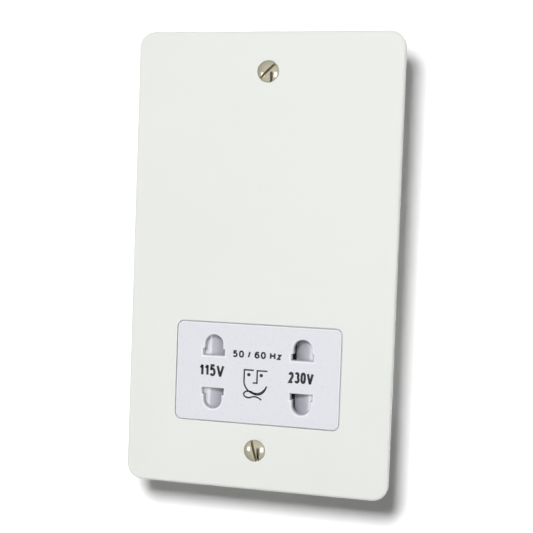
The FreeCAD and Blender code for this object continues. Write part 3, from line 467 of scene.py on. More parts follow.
@dataclass(frozen=True)
class Ink(Finish):
    """Printed ink, thin and a little uneven."""

    def paint(self, recipe: Recipe) -> None:
        """Paint the ink.

        Args:
            recipe: Tree that takes the nodes.
        """
        patchy = recipe.noise(2.2, 3.0)
        recipe.colour(recipe.tones(patchy, self.tone, 0.8, 1.3))
        recipe.rough(patchy, 0.42, 0.6)
        recipe.bumps((patchy, 0.1, 0.02))


PLATE_COAT = SatinCoat("plate_coat", (0.85, 0.866, 0.832))
FACE_PLASTIC = Moulding("face_plastic", (0.79, 0.79, 0.845), 0.3, 0.3, 0.03, 0.003, 0.15, 1.4)
# Lighter, glossier copy of the face plastic for its eased edges and aperture mouths: a painted highlight.
FACE_EDGE_HIGHLIGHT = Moulding("face_plastic_edge_highlight", (0.9, 0.9, 0.93), 0.2, 0.3, 0.02, 0.003, 0.3, 1.4)
# Its second tone is the painted shade at the foot of the ramps.
SHUTTER_PLASTIC = RampPlastic("shutter_plastic", (0.69, 0.7, 0.75), (0.43, 0.43, 0.48))
BLACK_PLASTIC = Moulding("black_plastic", (0.022, 0.022, 0.024), 0.42, 0.2, 0.12, 0.2)
HOUSING_PLASTIC = Moulding("housing_plastic", (0.74, 0.74, 0.72), 0.48, 0.35, 0.2, 0.03)
TERMINAL_PLASTIC = Moulding("terminal_plastic", (0.8, 0.79, 0.75), 0.42, 0.2, 0.12, 0.04)
NYLON = Moulding("bobbin_nylon_plastic", (0.74, 0.7, 0.6), 0.4, 0.3, 0.08, 0.05)
CASE_PLASTIC = Moulding("cutout_plastic", (0.03, 0.03, 0.034), 0.5, 0.15, 0.15, 0.2)
NICKEL = Metal("polished_nickel", (0.57, 0.535, 0.425), 0.15, Axis.DEPTH, 0.05, 0.14)
# Dark brown for the inside of the screw slots: tarnish together with painted shade.
TARNISH_AND_SHADE = Metal("slot_tarnish_and_shade", (0.36, 0.29, 0.17), 0.45, Axis.DEPTH, 0.1, 0.2)
ZINC = Metal("zinc_plate", (0.66, 0.67, 0.66), 0.3, Axis.UPRIGHT, 0.1, 0.15)
BRASS = Metal("cut_brass", (0.8, 0.6, 0.28), 0.24, Axis.UPRIGHT, 0.15, 0.15)
BRONZE = Metal("spring_bronze_strip", (0.72, 0.45, 0.26), 0.28, Axis.UPRIGHT, 0.12, 0.12)
TIN = Metal("tinned_metal", (0.76, 0.75, 0.72), 0.33, Axis.ACROSS, 0.1, 0.12)
CORE_STEEL = LayeredStack("core_plates", (0.2, 0.2, 0.22), (0.2, 0.09, 0.03))
COIL_TAPE = WoundTape("coil_tape", (0.62, 0.4, 0.06), (0.55, 0.2, 0.07))
FIBRE_BOARD = Board("fibre_board", (0.24, 0.11, 0.045))
PRINT_INK = Ink("print_ink", (0.02, 0.02, 0.022))


# Outlines and meshes, in millimetres


def on_circle(x: float, z: float, radius: float, angle: float) -> Pair:
    """Point of a circle round a centre, by its angle in radians."""
    return x + radius * math.cos(angle), z + radius * math.sin(angle)


def circle_outline(radius: float, x: float, z: float, steps: int = 64) -> Outline:
    """Points of a circle round a centre, anticlockwise."""
    return [on_circle(x, z, radius, 2 * math.pi / steps * step) for step in range(steps)]


def rectangle(left: float, right: float, low: float, high: float) -> Outline:
    """Corners of a rectangle."""
    return [(left, low), (right, low), (right, high), (left, high)]


def rounded_outline(width: float, height: float, radius: float, z: float = 0.0, grow: float = 0.0) -> Outline:
    """Rectangle with round corners.

    Args:
        width: Size across.
        height: Upright size.
        radius: Corner radius.
        z: Height of the centre.
        grow: Distance that every side is moved outwards.

    Returns:
        Points across and upright, anticlockwise.
    """
    width, height, radius = width + 2 * grow, height + 2 * grow, radius + grow
    points: Outline = []
    for corner, (sx, sz) in enumerate(((1, -1), (1, 1), (-1, 1), (-1, -1))):
        cx, cz = sx * (width / 2 - radius), sz * (height / 2 - radius)
        for step in range(CORNER_STEPS + 1):
            angle = math.radians(-90 + 90 * corner + 90 * step / CORNER_STEPS)
            points.append(on_circle(cx, z + cz, radius, angle))
    return points


def eased(low: float, radius: float, steps: int) -> list[Pair]:
    """Offset from the side and depth of each step of a quarter round that starts at a face."""
    angles = [math.pi / 2 * step / steps for step in range(steps + 1)]
    return [(radius * (1 - math.sin(angle)), low + radius * (1 - math.cos(angle))) for angle in angles]


def placed(name: str, data: bpy.types.ID) -> Piece:
    """Put a new object into the scene.

    Args:
        name: Name of the object.
        data: Its mesh, lamp or camera.

    Returns:
        The object.
    """
    piece = bpy.data.objects.new(name, data)
    bpy.context.scene.collection.objects.link(piece)
    return piece


@dataclass
class Mesher:
    """Collects rings and faces of one mesh."""

    bm: bmesh.types.BMesh = field(default_factory=bmesh.new)

    def ring(self, outline: Outline, y: float) -> Ring:
        """New vertices along an outline at one depth."""
        return [self.bm.verts.new((x * MM, y * MM, z * MM)) for x, z in outline]

    def bridge(self, *rings: Ring) -> None:
        """Join each ring to the next with four-sided faces.

        Args:
            *rings: Rings with equally many vertices.
        """
        for first, second in zip(rings, rings[1:]):
            for index in range(len(first)):
                after = (index + 1) % len(first)
                self.bm.faces.new((first[index], first[after], second[after], second[index]))

    def fill(self, *rings: Ring) -> None:
        """Close a flat face.

        Args:
            *rings: Its border and holes.
        """
        edges = []
        for ring in rings:
            for first, second in zip(ring, ring[1:] + ring[:1]):
                edges.append(self.bm.edges.get((first, second)) or self.bm.edges.new((first, second)))
        bmesh.ops.triangle_fill(self.bm, use_beauty=True, use_dissolve=False, edges=edges)

    def stack(self, *layers: tuple[Outline, float]) -> list[Ring]:
        """Rings that are joined in turn.

        Args:
            *layers: Outline and depth of each ring.

        Returns:
            The rings.
        """
        rings = [self.ring(outline, y) for outline, y in layers]
        self.bridge(*rings)
        return rings

    def close(self, *stacks: list[Ring]) -> None:
        """Fill the first and the last face of a body, given the rings of its border and holes."""
        for end in (0, -1):
            self.fill(*(rings[end] for rings in stacks))

    def piece(self, name: str, material: Material, sharp: float = 40.0, weighted: bool = True) -> Piece:
        """Make the object.

        Args:
            name: Name of the object.
            material: Its material.
            sharp: Angle in degrees above which an edge stays sharp.
            weighted: Whether larger faces count more in the shading.

        Returns:
            The new object.
        """
        bmesh.ops.recalc_face_normals(self.bm, faces=self.bm.faces)
        mesh = bpy.data.meshes.new(name)
        self.bm.to_mesh(mesh)
        self.bm.free()
        mesh.shade_smooth()
        mesh.set_sharp_from_angle(angle=math.radians(sharp))
        mesh.materials.append(material)
        piece = placed(name, mesh)
        if weighted:
            piece.modifiers.new("weighted", "WEIGHTED_NORMAL").keep_sharp = True
        return piece


def baked(piece: Piece) -> bpy.types.Mesh:
    """Mesh of an object with its modifiers applied, after which the object is gone.

    Args:
        piece: The object.

    Returns:
        A mesh of its own.
    """
    bpy.context.view_layer.update()
    evaluated = piece.evaluated_get(bpy.context.evaluated_depsgraph_get())
    mesh = bpy.data.meshes.new_from_object(evaluated)
    bpy.data.objects.remove(piece)
    return mesh


def bevelled(piece: Piece, width_mm: float, angle: float, **settings: bool) -> None:
    """Bevel an object's sharp edges in two steps.

    Args:
        piece: The object.
        width_mm: Width of the bevel.
        angle: Angle in degrees above which an edge is bevelled.
        **settings: Other properties of the modifier.
    """
    bevel = piece.modifiers.new("bevel", "BEVEL")
    bevel.width = width_mm * MM
    bevel.segments = 2
    bevel.limit_method = "ANGLE"
    bevel.angle_limit = math.radians(angle)
    for key, value in settings.items():
        setattr(bevel, key, value)


def seated(piece: Piece, node: str, body: str = SOCKET) -> Piece:
    """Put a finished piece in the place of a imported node.

    Args:
        piece: The new piece.
        node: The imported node.
        body: The body that it moves with.

    Returns:
        The piece.
    """
    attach(piece, body)
    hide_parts(node)
    return piece


def softened(node: str, name: str, finish: Finish, slot: str, edge_mm: float) -> Piece:
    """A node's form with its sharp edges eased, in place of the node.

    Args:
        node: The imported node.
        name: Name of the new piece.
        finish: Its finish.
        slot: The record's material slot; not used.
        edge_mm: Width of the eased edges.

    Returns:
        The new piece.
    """
    bm = bmesh.new()
    bm.from_mesh(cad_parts[node].data)
    bmesh.ops.remove_doubles(bm, verts=bm.verts, dist=SAME_PLACE)
    flat = math.radians(FLAT_DEGREES)
    parts = {"verts": bm.verts, "edges": bm.edges}
    bmesh.ops.dissolve_limit(bm, angle_limit=flat, use_dissolve_boundaries=False, **parts)
    piece = Mesher(bm).piece(name, finish.material(), sharp=30.0, weighted=False)
    bevelled(piece, edge_mm, EASED_DEGREES, use_clamp_overlap=False, loop_slide=False, harden_normals=True)
    return seated(piece, node)


def dress(node: str, finish: Finish) -> Piece:
    """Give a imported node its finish.

    Args:
        node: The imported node.
        finish: Its finish.

    Returns:
        The node's object.
    """
    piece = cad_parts[node]
    material = finish.material()
    for slot in piece.material_slots:
        slot.material = material
    return piece


# Sub-assemblies


@dataclass(frozen=True)
class Thread:
    """Rolled thread round a line that runs backwards."""

    x: float
    z: float
    start: float
    end: float
    radius: float
    pitch: float
    depth: float
    run_in: bool = False
    around: int = 24
    along: int = 6
    run_out_mm: float = 0.6
    run_in_mm: float = 0.4
    first_share: float = 0.2
    taper: float = 0.2
    crest_gain: float = 1.25

    def add_to(self, mesher: Mesher) -> None:
        """Add the thread to a mesh.

        Args:
            mesher: Mesh that takes the thread.
        """
        root = self.radius - self.depth
        length = self.end - self.start
        rows = round(length / self.pitch * self.along)
        layers = []
        for row in range(rows + 1):
            y = self.start + length * row / rows
            full = min(1.0, (self.end - y) / self.run_out_mm)
            if self.run_in:
                full = min(full, (y - self.start) / self.run_in_mm + self.first_share)
            outline = []
            for step in range(self.around):
                phase = (y / self.pitch - step / self.around) % 1.0
                crest = min(1.0, self.crest_gain * (1 - abs(2 * phase - 1)))
                radius = root - self.taper * (1 - full) + self.depth * crest * max(full, 0.0)
                outline.append(on_circle(self.x, self.z, radius, 2 * math.pi * step / self.around))
            layers.append((outline, y))
        mesher.close(mesher.stack(*layers))


@dataclass
class FrontPlate:
    """Pressed plate with a returned rim, a window and two countersunk holes."""

    width: float = 86.0
    height: float = 146.0
    front: float = -3.0
    skin_back: float = -1.2
    rim: float = 1.6
    corner: float = 5.0
    edge: float = 1.0
    edge_steps: int = 6
    back_edge: float = 0.3
    window: tuple[float, float, float, float] = (54.1, 32.3, 2.3, -35.8)
    window_edge: float = 0.22
    window_steps: int = 3
    screw_rise: float = 60.3
    sink: float = 3.55
    hole: float = 2.05
    lip: Pair = (0.12, 0.1)

    def outline(self, grow: float) -> Outline:
        """The plate's border, moved outwards by a distance."""
        return rounded_outline(self.width, self.height, self.corner, 0.0, grow)

    def build(self) -> list[Piece]:
        """Build the plate with its rounded edge, window and screw holes.

        Returns:
            The plate.
        """
        mesher = Mesher()
        sides = mesher.stack(
            *((self.outline(-offset), y) for offset, y in eased(self.front, self.edge, self.edge_steps)),
            (self.outline(0.0), -self.back_edge),
            (self.outline(-self.back_edge), 0.0),
            (self.outline(-self.rim), 0.0),
            (self.outline(-self.rim), self.skin_back),
        )
        lip = eased(self.front, self.window_edge, self.window_steps)
        window = mesher.stack(
            *((rounded_outline(*self.window, offset), y) for offset, y in lip),
            (rounded_outline(*self.window), self.skin_back),
        )
        holes = [self.hole_rings(mesher, z) for z in (self.screw_rise, -self.screw_rise)]
        mesher.close(sides, window, *holes)
        piece = mesher.piece("front_plate_pressed", PLATE_COAT.material())
        return [seated(piece, "front_plate")]

    def hole_rings(self, mesher: Mesher, z: float) -> list[Ring]:
        """Rings of a countersunk hole, from its lip to the back of the sheet.

        Args:
            mesher: The plate's mesh.
            z: Height of the hole.

        Returns:
            The rings.
        """
        steps = (
            (self.sink + self.lip[0], self.front),
            (self.sink, self.front + self.lip[1]),
            (self.hole, self.front + self.sink - self.hole),
            (self.hole, self.skin_back),
        )
        return mesher.stack(*((circle_outline(radius, 0.0, z), y) for radius, y in steps))


@dataclass
class FixingScrews:
    """Two slotted raised countersunk screws with rolled threads."""

    rise: float = 60.3
    head: float = 3.5
    dome: float = 0.9
    dome_steps: int = 12
    around: int = 72
    rim: Triple = (0.12, 0.03, 0.1)
    plate_front: float = -3.0
    slot: Pair = (0.75, 1.15)
    slot_margin: Pair = (0.02, 0.12)
    cutter_reach: float = 5.0
    cutter_rise: float = 1.0
    burr: float = 0.07
    burr_degrees: float = 50
    turns: Pair = (45.0, 107.0)
    neck: float = 1.4
    thread: float = 1.75
    thread_depth: float = 0.32
    pitch: float = 0.6
    thread_from: float = 0.6
    reach: float = 22.0

    def head_profile(self) -> Outline:
        """Radius and depth of the head from the middle of the dome to the neck.

        Returns:
            Points from the middle outwards.
        """
        dome_inset, rim_inset, rim_depth = self.rim
        bulge = (self.head**2 + self.dome**2) / (2 * self.dome)
        points = []
        for step in range(self.dome_steps + 1):
            radius = (self.head - dome_inset) * step / self.dome_steps
            points.append((radius, self.plate_front - self.dome + bulge - math.sqrt(bulge**2 - radius**2)))
        return [
            *points,
            (self.head - rim_inset, self.plate_front),
            (self.head, self.plate_front + rim_depth),
            (self.neck, self.plate_front + self.head - self.neck),
            (self.neck, self.thread_from),
        ]

    def turned_head(self, z: float, angle: float) -> bpy.types.Mesh:
        """Head and neck of one screw, with its slot cut.

        Args:
            z: Height of the screw.
            angle: Turn of the slot from the horizontal, in degrees.

        Returns:
            The mesh.
        """
        mesher = Mesher()
        middle, *profile = self.head_profile()
        rings = [mesher.ring(circle_outline(radius, 0.0, 0.0, self.around), y) for radius, y in profile]
        tip = mesher.bm.verts.new((0.0, middle[1] * MM, 0.0))
        for first, second in zip(rings[0], rings[0][1:] + rings[0][:1]):
            mesher.bm.faces.new((tip, second, first))
        mesher.bridge(*rings)
        mesher.fill(rings[-1])
        head = mesher.piece("head_blank", NICKEL.material(), weighted=False)
        cutter = Mesher()
        width, depth = self.slot
        top = self.plate_front - self.dome
        corners = rectangle(-self.cutter_reach, self.cutter_reach, -width / 2, width / 2)
        cutter.close(cutter.stack((corners, top - self.cutter_rise), (corners, top + depth)))
        tool = cutter.piece("slot_tool", NICKEL.material(), weighted=False)
        cut = head.modifiers.new("slot", "BOOLEAN")
        cut.object = tool
        cut.solver = "EXACT"
        bevelled(head, self.burr, self.burr_degrees)
        mesh = baked(head)
        bpy.data.objects.remove(tool)
        self.mark_slot(mesh)
        turn = Matrix.Rotation(math.radians(-angle), 4, "Y")
        mesh.transform(Matrix.Translation((0, 0, z * MM)) @ turn)
        return mesh

    def mark_slot(self, mesh: bpy.types.Mesh) -> None:
        """Give the faces inside the slot the second material, tarnish with painted shade.

        Args:
            mesh: Mesh of the head, with its slot across.
        """
        width, depth = self.slot
        aside, below = self.slot_margin
        for face in mesh.polygons:
            x, y, up = face.center / MM
            surface = self.plate_front - self.dome * (1 - (math.hypot(x, up) / self.head) ** 2)
            if abs(up) < width / 2 + aside and surface + below < y < self.plate_front + depth:
                face.material_index = 1

    def build(self) -> list[Piece]:
        """Build both screws as one piece.

        Returns:
            The piece.
        """
        mesher = Mesher()
        for z, angle in zip((self.rise, -self.rise), self.turns):
            mesher.bm.from_mesh(self.turned_head(z, angle))
            line = (0.0, z, self.thread_from, self.reach)
            Thread(*line, self.thread, self.pitch, self.thread_depth, True).add_to(mesher)
        piece = mesher.piece("fixing_screws_slotted", NICKEL.material(), sharp=50.0)
        # Second material: tarnish and painted shade inside the slots.
        piece.data.materials.append(TARNISH_AND_SHADE.material())
        return [seated(piece, "fixing_screws")]


@dataclass
class Arch:
    """One aperture: an upright arch with two short ears at its foot."""

    x: float
    z: float
    up: int
    width: float = 5.8
    height: float = 6.6
    base: float = 5.3
    ear: float = 7.1
    ear_height: float = 2.0
    steps: int = 24

    def outline(self, grow: float) -> Outline:
        """Points of the aperture.

        Args:
            grow: Distance that every side is moved outwards.

        Returns:
            Points across and upright.
        """
        half, wide = self.width / 2 + grow, self.ear / 2 + grow
        low, shoulder = self.base - grow, self.base + self.ear_height + grow
        centre = self.base + self.height - self.width / 2
        bow = [on_circle(0.0, centre, half, math.pi * step / self.steps) for step in range(self.steps + 1)]
        points = [(-wide, low), (wide, low), (wide, shoulder), (half, shoulder), *bow]
        points += [(-half, shoulder), (-wide, shoulder)]
        return [(self.x + x, self.z + self.up * z) for x, z in points]


@dataclass
class OutletFace:
    """Moulded outlet face with four arch apertures and its printed marks."""

    centre: float = -35.8
    width: float = 53.5
    height: float = 31.7
    corner: float = 2.0
    front: float = -3.2
    step_front: float = -1.9
    flange_front: float = -1.2
    flange: Pair = (65.0, 36.4)
    ledge: float = 0.28
    wall_back: float = -0.6
    back: float = 4.0
    cavity: Triple = (61.2, 26.2, 0.4)
    spacing: float = 29.0
    edge: float = 0.35
    edge_steps: int = 4
    mouth: float = 0.65
    mouth_steps: int = 5
    hairline: float = 0.002

    def outline(self, grow: float) -> Outline:
        """The face's border, moved outwards by a distance."""
        return rounded_outline(self.width, self.height, self.corner, self.centre, grow)

    def build(self) -> list[Piece]:
        """Build the face and its marks.

        Returns:
            The face and the marks.
        """
        mesher = Mesher()
        flange = rounded_outline(*self.flange, self.corner, self.centre)
        cavity = rounded_outline(*self.cavity, self.centre)
        sides = mesher.stack(
            *((self.outline(-offset), y) for offset, y in eased(self.front, self.edge, self.edge_steps)),
            (self.outline(0.0), self.step_front),
            (self.outline(self.ledge), self.step_front),
            (self.outline(self.ledge), self.flange_front),
            (flange, self.flange_front),
            (flange, self.back),
            (cavity, self.back),
            (cavity, self.wall_back),
        )
        across = (-self.spacing / 2, self.spacing / 2)
        arches = [self.arch_rings(mesher, Arch(x, self.centre, up)) for x in across for up in (1, -1)]
        mesher.close(sides, *arches)
        piece = mesher.piece("outlet_face", FACE_PLASTIC.material())
        piece.data.materials.append(FACE_EDGE_HIGHLIGHT.material())
        # Faces on the eased front edge and the aperture mouths take the lighter copy, a painted highlight.
        for face in piece.data.polygons:
            if self.front + self.hairline < face.center.y / MM < self.front + self.edge:
                face.material_index = 1
        return [seated(piece, "socket_cover"), *Marks(self.front).build()]

    def arch_rings(self, mesher: Mesher, arch: Arch) -> list[Ring]:
        """Rings of one aperture from its mouth to the back of the wall."""
        steps = eased(self.front, self.mouth, self.mouth_steps)
        return mesher.stack(*((arch.outline(offset), y) for offset, y in [*steps, (0.0, self.wall_back)]))


def arc(
    x: float,
    z: float,
    across: float,
    upright: float,
    start: float,
    end: float,
    power: float = 1.0,
    steps: int = 20,
) -> Outline:
    """Points of an elliptical arc.

    Args:
        x: Centre across.
        z: Centre upright.
        across: Half width.
        upright: Half height.
        start: First angle in degrees.
        end: Last angle in degrees.
        power: Below 1 the ellipse gets straighter sides.
        steps: Parts of the arc.

    Returns:
        Points across and upright.
    """
    points = []
    for step in range(steps + 1):
        angle = math.radians(start + (end - start) * step / steps)
        c, s = (math.copysign(abs(part) ** power, part) for part in (math.cos(angle), math.sin(angle)))
        points.append((x + across * c, z + upright * s))
    return points


@dataclass(frozen=True)
class Glyph:
    """One plain character: strokes in a unit box, and its width against its height."""

    width: float
    strokes: tuple[Outline, ...] = ()


GLYPHS = {
    "0": Glyph(0.56, (arc(0.5, 0.5, 0.5, 0.5, 0, 360, 0.8, 40),)),
    "1": Glyph(0.42, ([(0.8, 0.0), (0.8, 1.0)], [(0.0, 0.7), (0.45, 0.82), (0.8, 1.02)])),
    "2": Glyph(0.56, (arc(0.5, 0.71, 0.46, 0.29, 165, -25) + [(0.06, 0.0), (1.0, 0.0)],)),
    "3": Glyph(0.56, (arc(0.46, 0.765, 0.42, 0.235, 155, -90), arc(0.46, 0.265, 0.5, 0.265, 90, -155))),
    "5": Glyph(0.56, ([(0.95, 1.0), (0.2, 1.0), (0.1, 0.5)], arc(0.46, 0.33, 0.52, 0.33, 135, -150))),
    "6": Glyph(0.56, (arc(0.5, 0.31, 0.5, 0.31, 0, 360, 1.0, 36), arc(0.58, 0.42, 0.58, 0.58, 180, 48))),
    "V": Glyph(0.72, ([(0.0, 1.0), (0.46, 0.0), (0.54, 0.0), (1.0, 1.0)],)),
    "H": Glyph(0.66, ([(0.05, 0.0), (0.05, 1.0)], [(0.95, 0.0), (0.95, 1.0)], [(0.05, 0.52), (0.95, 0.52)])),
    "z": Glyph(0.5, ([(0.05, 0.7), (0.95, 0.7), (0.05, 0.0), (0.98, 0.0)],)),
    "/": Glyph(0.34, ([(0.0, 0.0), (1.0, 1.0)],)),
    " ": Glyph(0.16),
}


@dataclass(frozen=True)
class Lettering:
    """One line of plain characters that fills a box on the face."""

    name: str
    text: str
    left: float
    right: float
    low: float
    high: float
    weight: float
    gap: float = 0.045

    def strokes(self) -> list[Outline]:
        """Centre lines of every stroke, in millimetres.

        Returns:
            Points of each stroke, across and upright.
        """
        height = self.high - self.low - self.weight
        natural = sum(GLYPHS[letter].width for letter in self.text) + self.gap * (len(self.text) - 1)
        share = (self.right - self.left) / natural
        lines, start = [], self.left
        for letter in self.text:
            glyph = GLYPHS[letter]
            inner = glyph.width * share - self.weight
            for stroke in glyph.strokes:
                base_x, base_z = start + self.weight / 2, self.low + self.weight / 2
                lines.append([(base_x + x * inner, base_z + z * height) for x, z in stroke])
            start += (glyph.width + self.gap) * share
        return lines


@dataclass
class Marks:
    """Generic printed marks: the two voltages, the frequency and a shaver symbol."""

    face: float
    ink: float = 0.02
    sunk: float = 0.01
    stroke: float = 0.5
    eye: float = 0.56
    eye_steps: int = 28
    jaw_span: Pair = (0.12, 0.8)
    jaw_weight: Pair = (0.5, 1.3)
    meets: float = 0.001
    sharpest: float = 0.4
    eyes: Outline = field(default_factory=lambda: [(-2.65, -35.95), (1.45, -35.95)])
    lines: tuple[Lettering, ...] = (
        Lettering("mark_115v", "115V", -19.1, -10.8, -37.3, -33.4, 0.78),
        Lettering("mark_230v", "230V", 10.2, 18.4, -37.7, -34.05, 0.78),
        Lettering("mark_frequency", "50 / 60 Hz", -8.2, 7.8, -30.65, -28.35, 0.56, 0.12),
    )

    def build(self) -> list[Piece]:
        """Build every mark.

        Returns:
            The marks.
        """
        ink = PRINT_INK.material()
        pieces = []
        for line in self.lines:
            mesher = Mesher()
            for stroke in line.strokes():
                self.add_ribbon(mesher, stroke, [line.weight] * len(stroke))
            pieces.append(mesher.piece(line.name, ink))
        pieces.append(self.symbol(ink))
        for piece in pieces:
            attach(piece, SOCKET)
        return pieces

    def symbol(self, ink: Material) -> Piece:
        """Plain shaver symbol of a few arcs and lines, a jaw that swells, and two dots.

        Args:
            ink: Its material.

        Returns:
            The new piece.
        """
        mesher = Mesher()
        plain = (
            [(-1.05, -34.45), (-4.15, -34.45), (-4.15, -38.0)],
            [(3.4, -34.5), (0.1, -34.5), (0.1, -38.5), (-1.3, -38.5)],
            arc(0.1, -38.0, 4.25, 4.05, 180, 270),
            arc(-2.6, -42.25, 1.5, 1.05, 40, 290),
            arc(-0.55, -45.6, 2.9, 2.7, 125, 40),
        )
        for points in plain:
            self.add_ribbon(mesher, points, [self.stroke] * len(points))
        jaw = arc(0.1, -38.0, 3.35, 4.05, 232, 342)
        first, span = self.jaw_span
        thin, gain = self.jaw_weight
        shares = [first + span * step / (len(jaw) - 1) for step in range(len(jaw))]
        swell = [self.stroke * (thin + gain * math.sin(math.pi * share)) for share in shares]
        self.add_ribbon(mesher, jaw, swell)
        for x, z in self.eyes:
            dot = circle_outline(self.eye, x, z, self.eye_steps)
            mesher.close(mesher.stack(*((dot, y) for y in self.layers())))
        return mesher.piece("mark_shaver_symbol", ink)

    def layers(self) -> Pair:
        """Depths of the ink's surface and of its hidden underside."""
        return self.face - self.ink, self.face + self.sunk

    def add_ribbon(self, mesher: Mesher, points: Outline, widths: list[float]) -> None:
        """One flat stroke with square ends, or a closed loop if its ends meet.

        Args:
            mesher: Mesh that takes the stroke.
            points: Centre line across and upright.
            widths: Width at each point.
        """
        line = [Vector(point) for point in points]
        closed = (line[0] - line[-1]).length < self.meets
        if closed:
            line.pop()
        steps = [(after - here).normalized() for here, after in zip(line, line[1:] + line[:1])]
        sides: tuple[Outline, Outline] = ([], [])
        for index, here in enumerate(line):
            runs = [steps[at] for at in (index - 1, index) if closed or 0 <= at < len(line) - 1]
            along = sum(runs, Vector((0.0, 0.0))).normalized()
            mitre = 1 / max(self.sharpest, abs(along.dot(runs[0])))
            for side, sign in zip(sides, (1, -1)):
                across = Vector((-along.y, along.x)) * (sign * mitre * widths[index] / 2)
                side.append(tuple(here + across))
        if closed:
            top, base = ([mesher.ring(side, y) for side in sides] for y in self.layers())
            mesher.bridge(top[0], top[1], base[1], base[0], top[0])
            return
        outline = sides[0] + sides[1][::-1]
        for ring in mesher.stack(*((outline, y) for y in self.layers())):
            for step in range(len(line) - 1):
                mesher.bm.faces.new((ring[step], ring[step + 1], ring[-2 - step], ring[-1 - step]))


@dataclass
class Shutter:
    """Sliding shutter with smooth ramps, and the two springs that centre it."""

    centre: float = -35.8
    width: float = 48.0
    height: float = 25.6
    corner: float = 0.8
    edge: float = 0.3
    front: float = -0.3
    back: float = 3.7
    window_inner: float = 5.1
    nose: float = 16.6
    ramp_foot: float = 11.25
    window_low: float = 4.7
    window_high: float = 12.3
    nose_radius: float = 3.2
    nose_steps: int = 10
    ramp_steps: int = 6
    slot: Triple = (25.0, 6.4, 0.4)

    def ramp_profile(self) -> Outline:
        """Distance from the middle and depth along the nose and ramp, from the front face inwards.

        Returns:
            Points from the front face to the foot.
        """
        slope = math.atan2(self.back - self.front, self.nose - self.ramp_foot)
        reach = self.nose_radius * math.tan(slope / 2)
        points = []
        for step in range(self.nose_steps + 1):
            angle = slope * step / self.nose_steps
            x = self.nose + reach - self.nose_radius * math.sin(angle)
            points.append((x, self.front + self.nose_radius * (1 - math.cos(angle))))
        last_x, last_y = points[-1]
        for step in range(1, self.ramp_steps + 1):
            share = step / self.ramp_steps
            x = last_x + (self.ramp_foot - last_x) * share
            points.append((x, last_y + (self.back - last_y) * share))
        return points

    def build(self) -> list[Piece]:
        """Build the slider, and dress the springs.

        Returns:
            The slider and the springs.
        """
        mesher = Mesher()
        form = (self.width, self.height, self.corner, self.centre)
        small, full = (rounded_outline(*form, grow) for grow in (-self.edge, 0.0))
        edge = mesher.stack((small, self.front), (full, self.front + self.edge), (full, self.back))
        hollow = rounded_outline(*self.slot, self.centre)
        slot = mesher.stack((hollow, self.front), (hollow, self.back))
        windows = [self.window_rings(mesher, side, up) for side in (-1, 1) for up in (-1, 1)]
        mesher.close(edge, slot, *windows)
        piece = mesher.piece("shutter_slider_moulded", SHUTTER_PLASTIC.material(), sharp=30.0)
        slider = seated(piece, "shutter_slider", SHUTTER)
        return [slider, *(dress(f"shutter_spring_{side}", BRONZE) for side in ("left", "right"))]

    def window_rings(self, mesher: Mesher, side: int, up: int) -> list[Ring]:
        """Rings of one window, whose outer side is the ramp.

        Args:
            mesher: The slider's mesh.
            side: -1 on the left, 1 on the right.
            up: -1 below, 1 above.

        Returns:
            The rings.
        """
        near = side * self.window_inner
        low, high = self.centre + up * self.window_low, self.centre + up * self.window_high
        return mesher.stack(*((rectangle(near, side * x, low, high), y) for x, y in self.ramp_profile()))


SoftRows = tuple[tuple[str, str, Finish, str, float], ...]
PlainRows = tuple[tuple[str, Finish], ...]


@dataclass
class Group:
    """Sub-assembly that shows imported forms: some with eased edges, the others as they are."""

    soft: SoftRows = ()
    plain: PlainRows = ()

    def build(self) -> list[Piece]:
        """Build the soft pieces, and dress the plain ones."""
        return [*(softened(*row) for row in self.soft), *(dress(*row) for row in self.plain)]


@dataclass
class ContactGroup(Group):
    """Carrier behind the shutter, its contacts and the board that closes it."""

    soft: SoftRows = (
        ("contact_carrier", "contact_carrier_moulded", BLACK_PLASTIC, "black_moulding", 0.22),
        ("carrier_base", "carrier_base_board", FIBRE_BOARD, "base_board", 0.11),
    )
    plain: PlainRows = (
        ("common_contact", BRASS),
        ("contact_115v", BRASS),
        ("contact_230v", BRASS),
    )


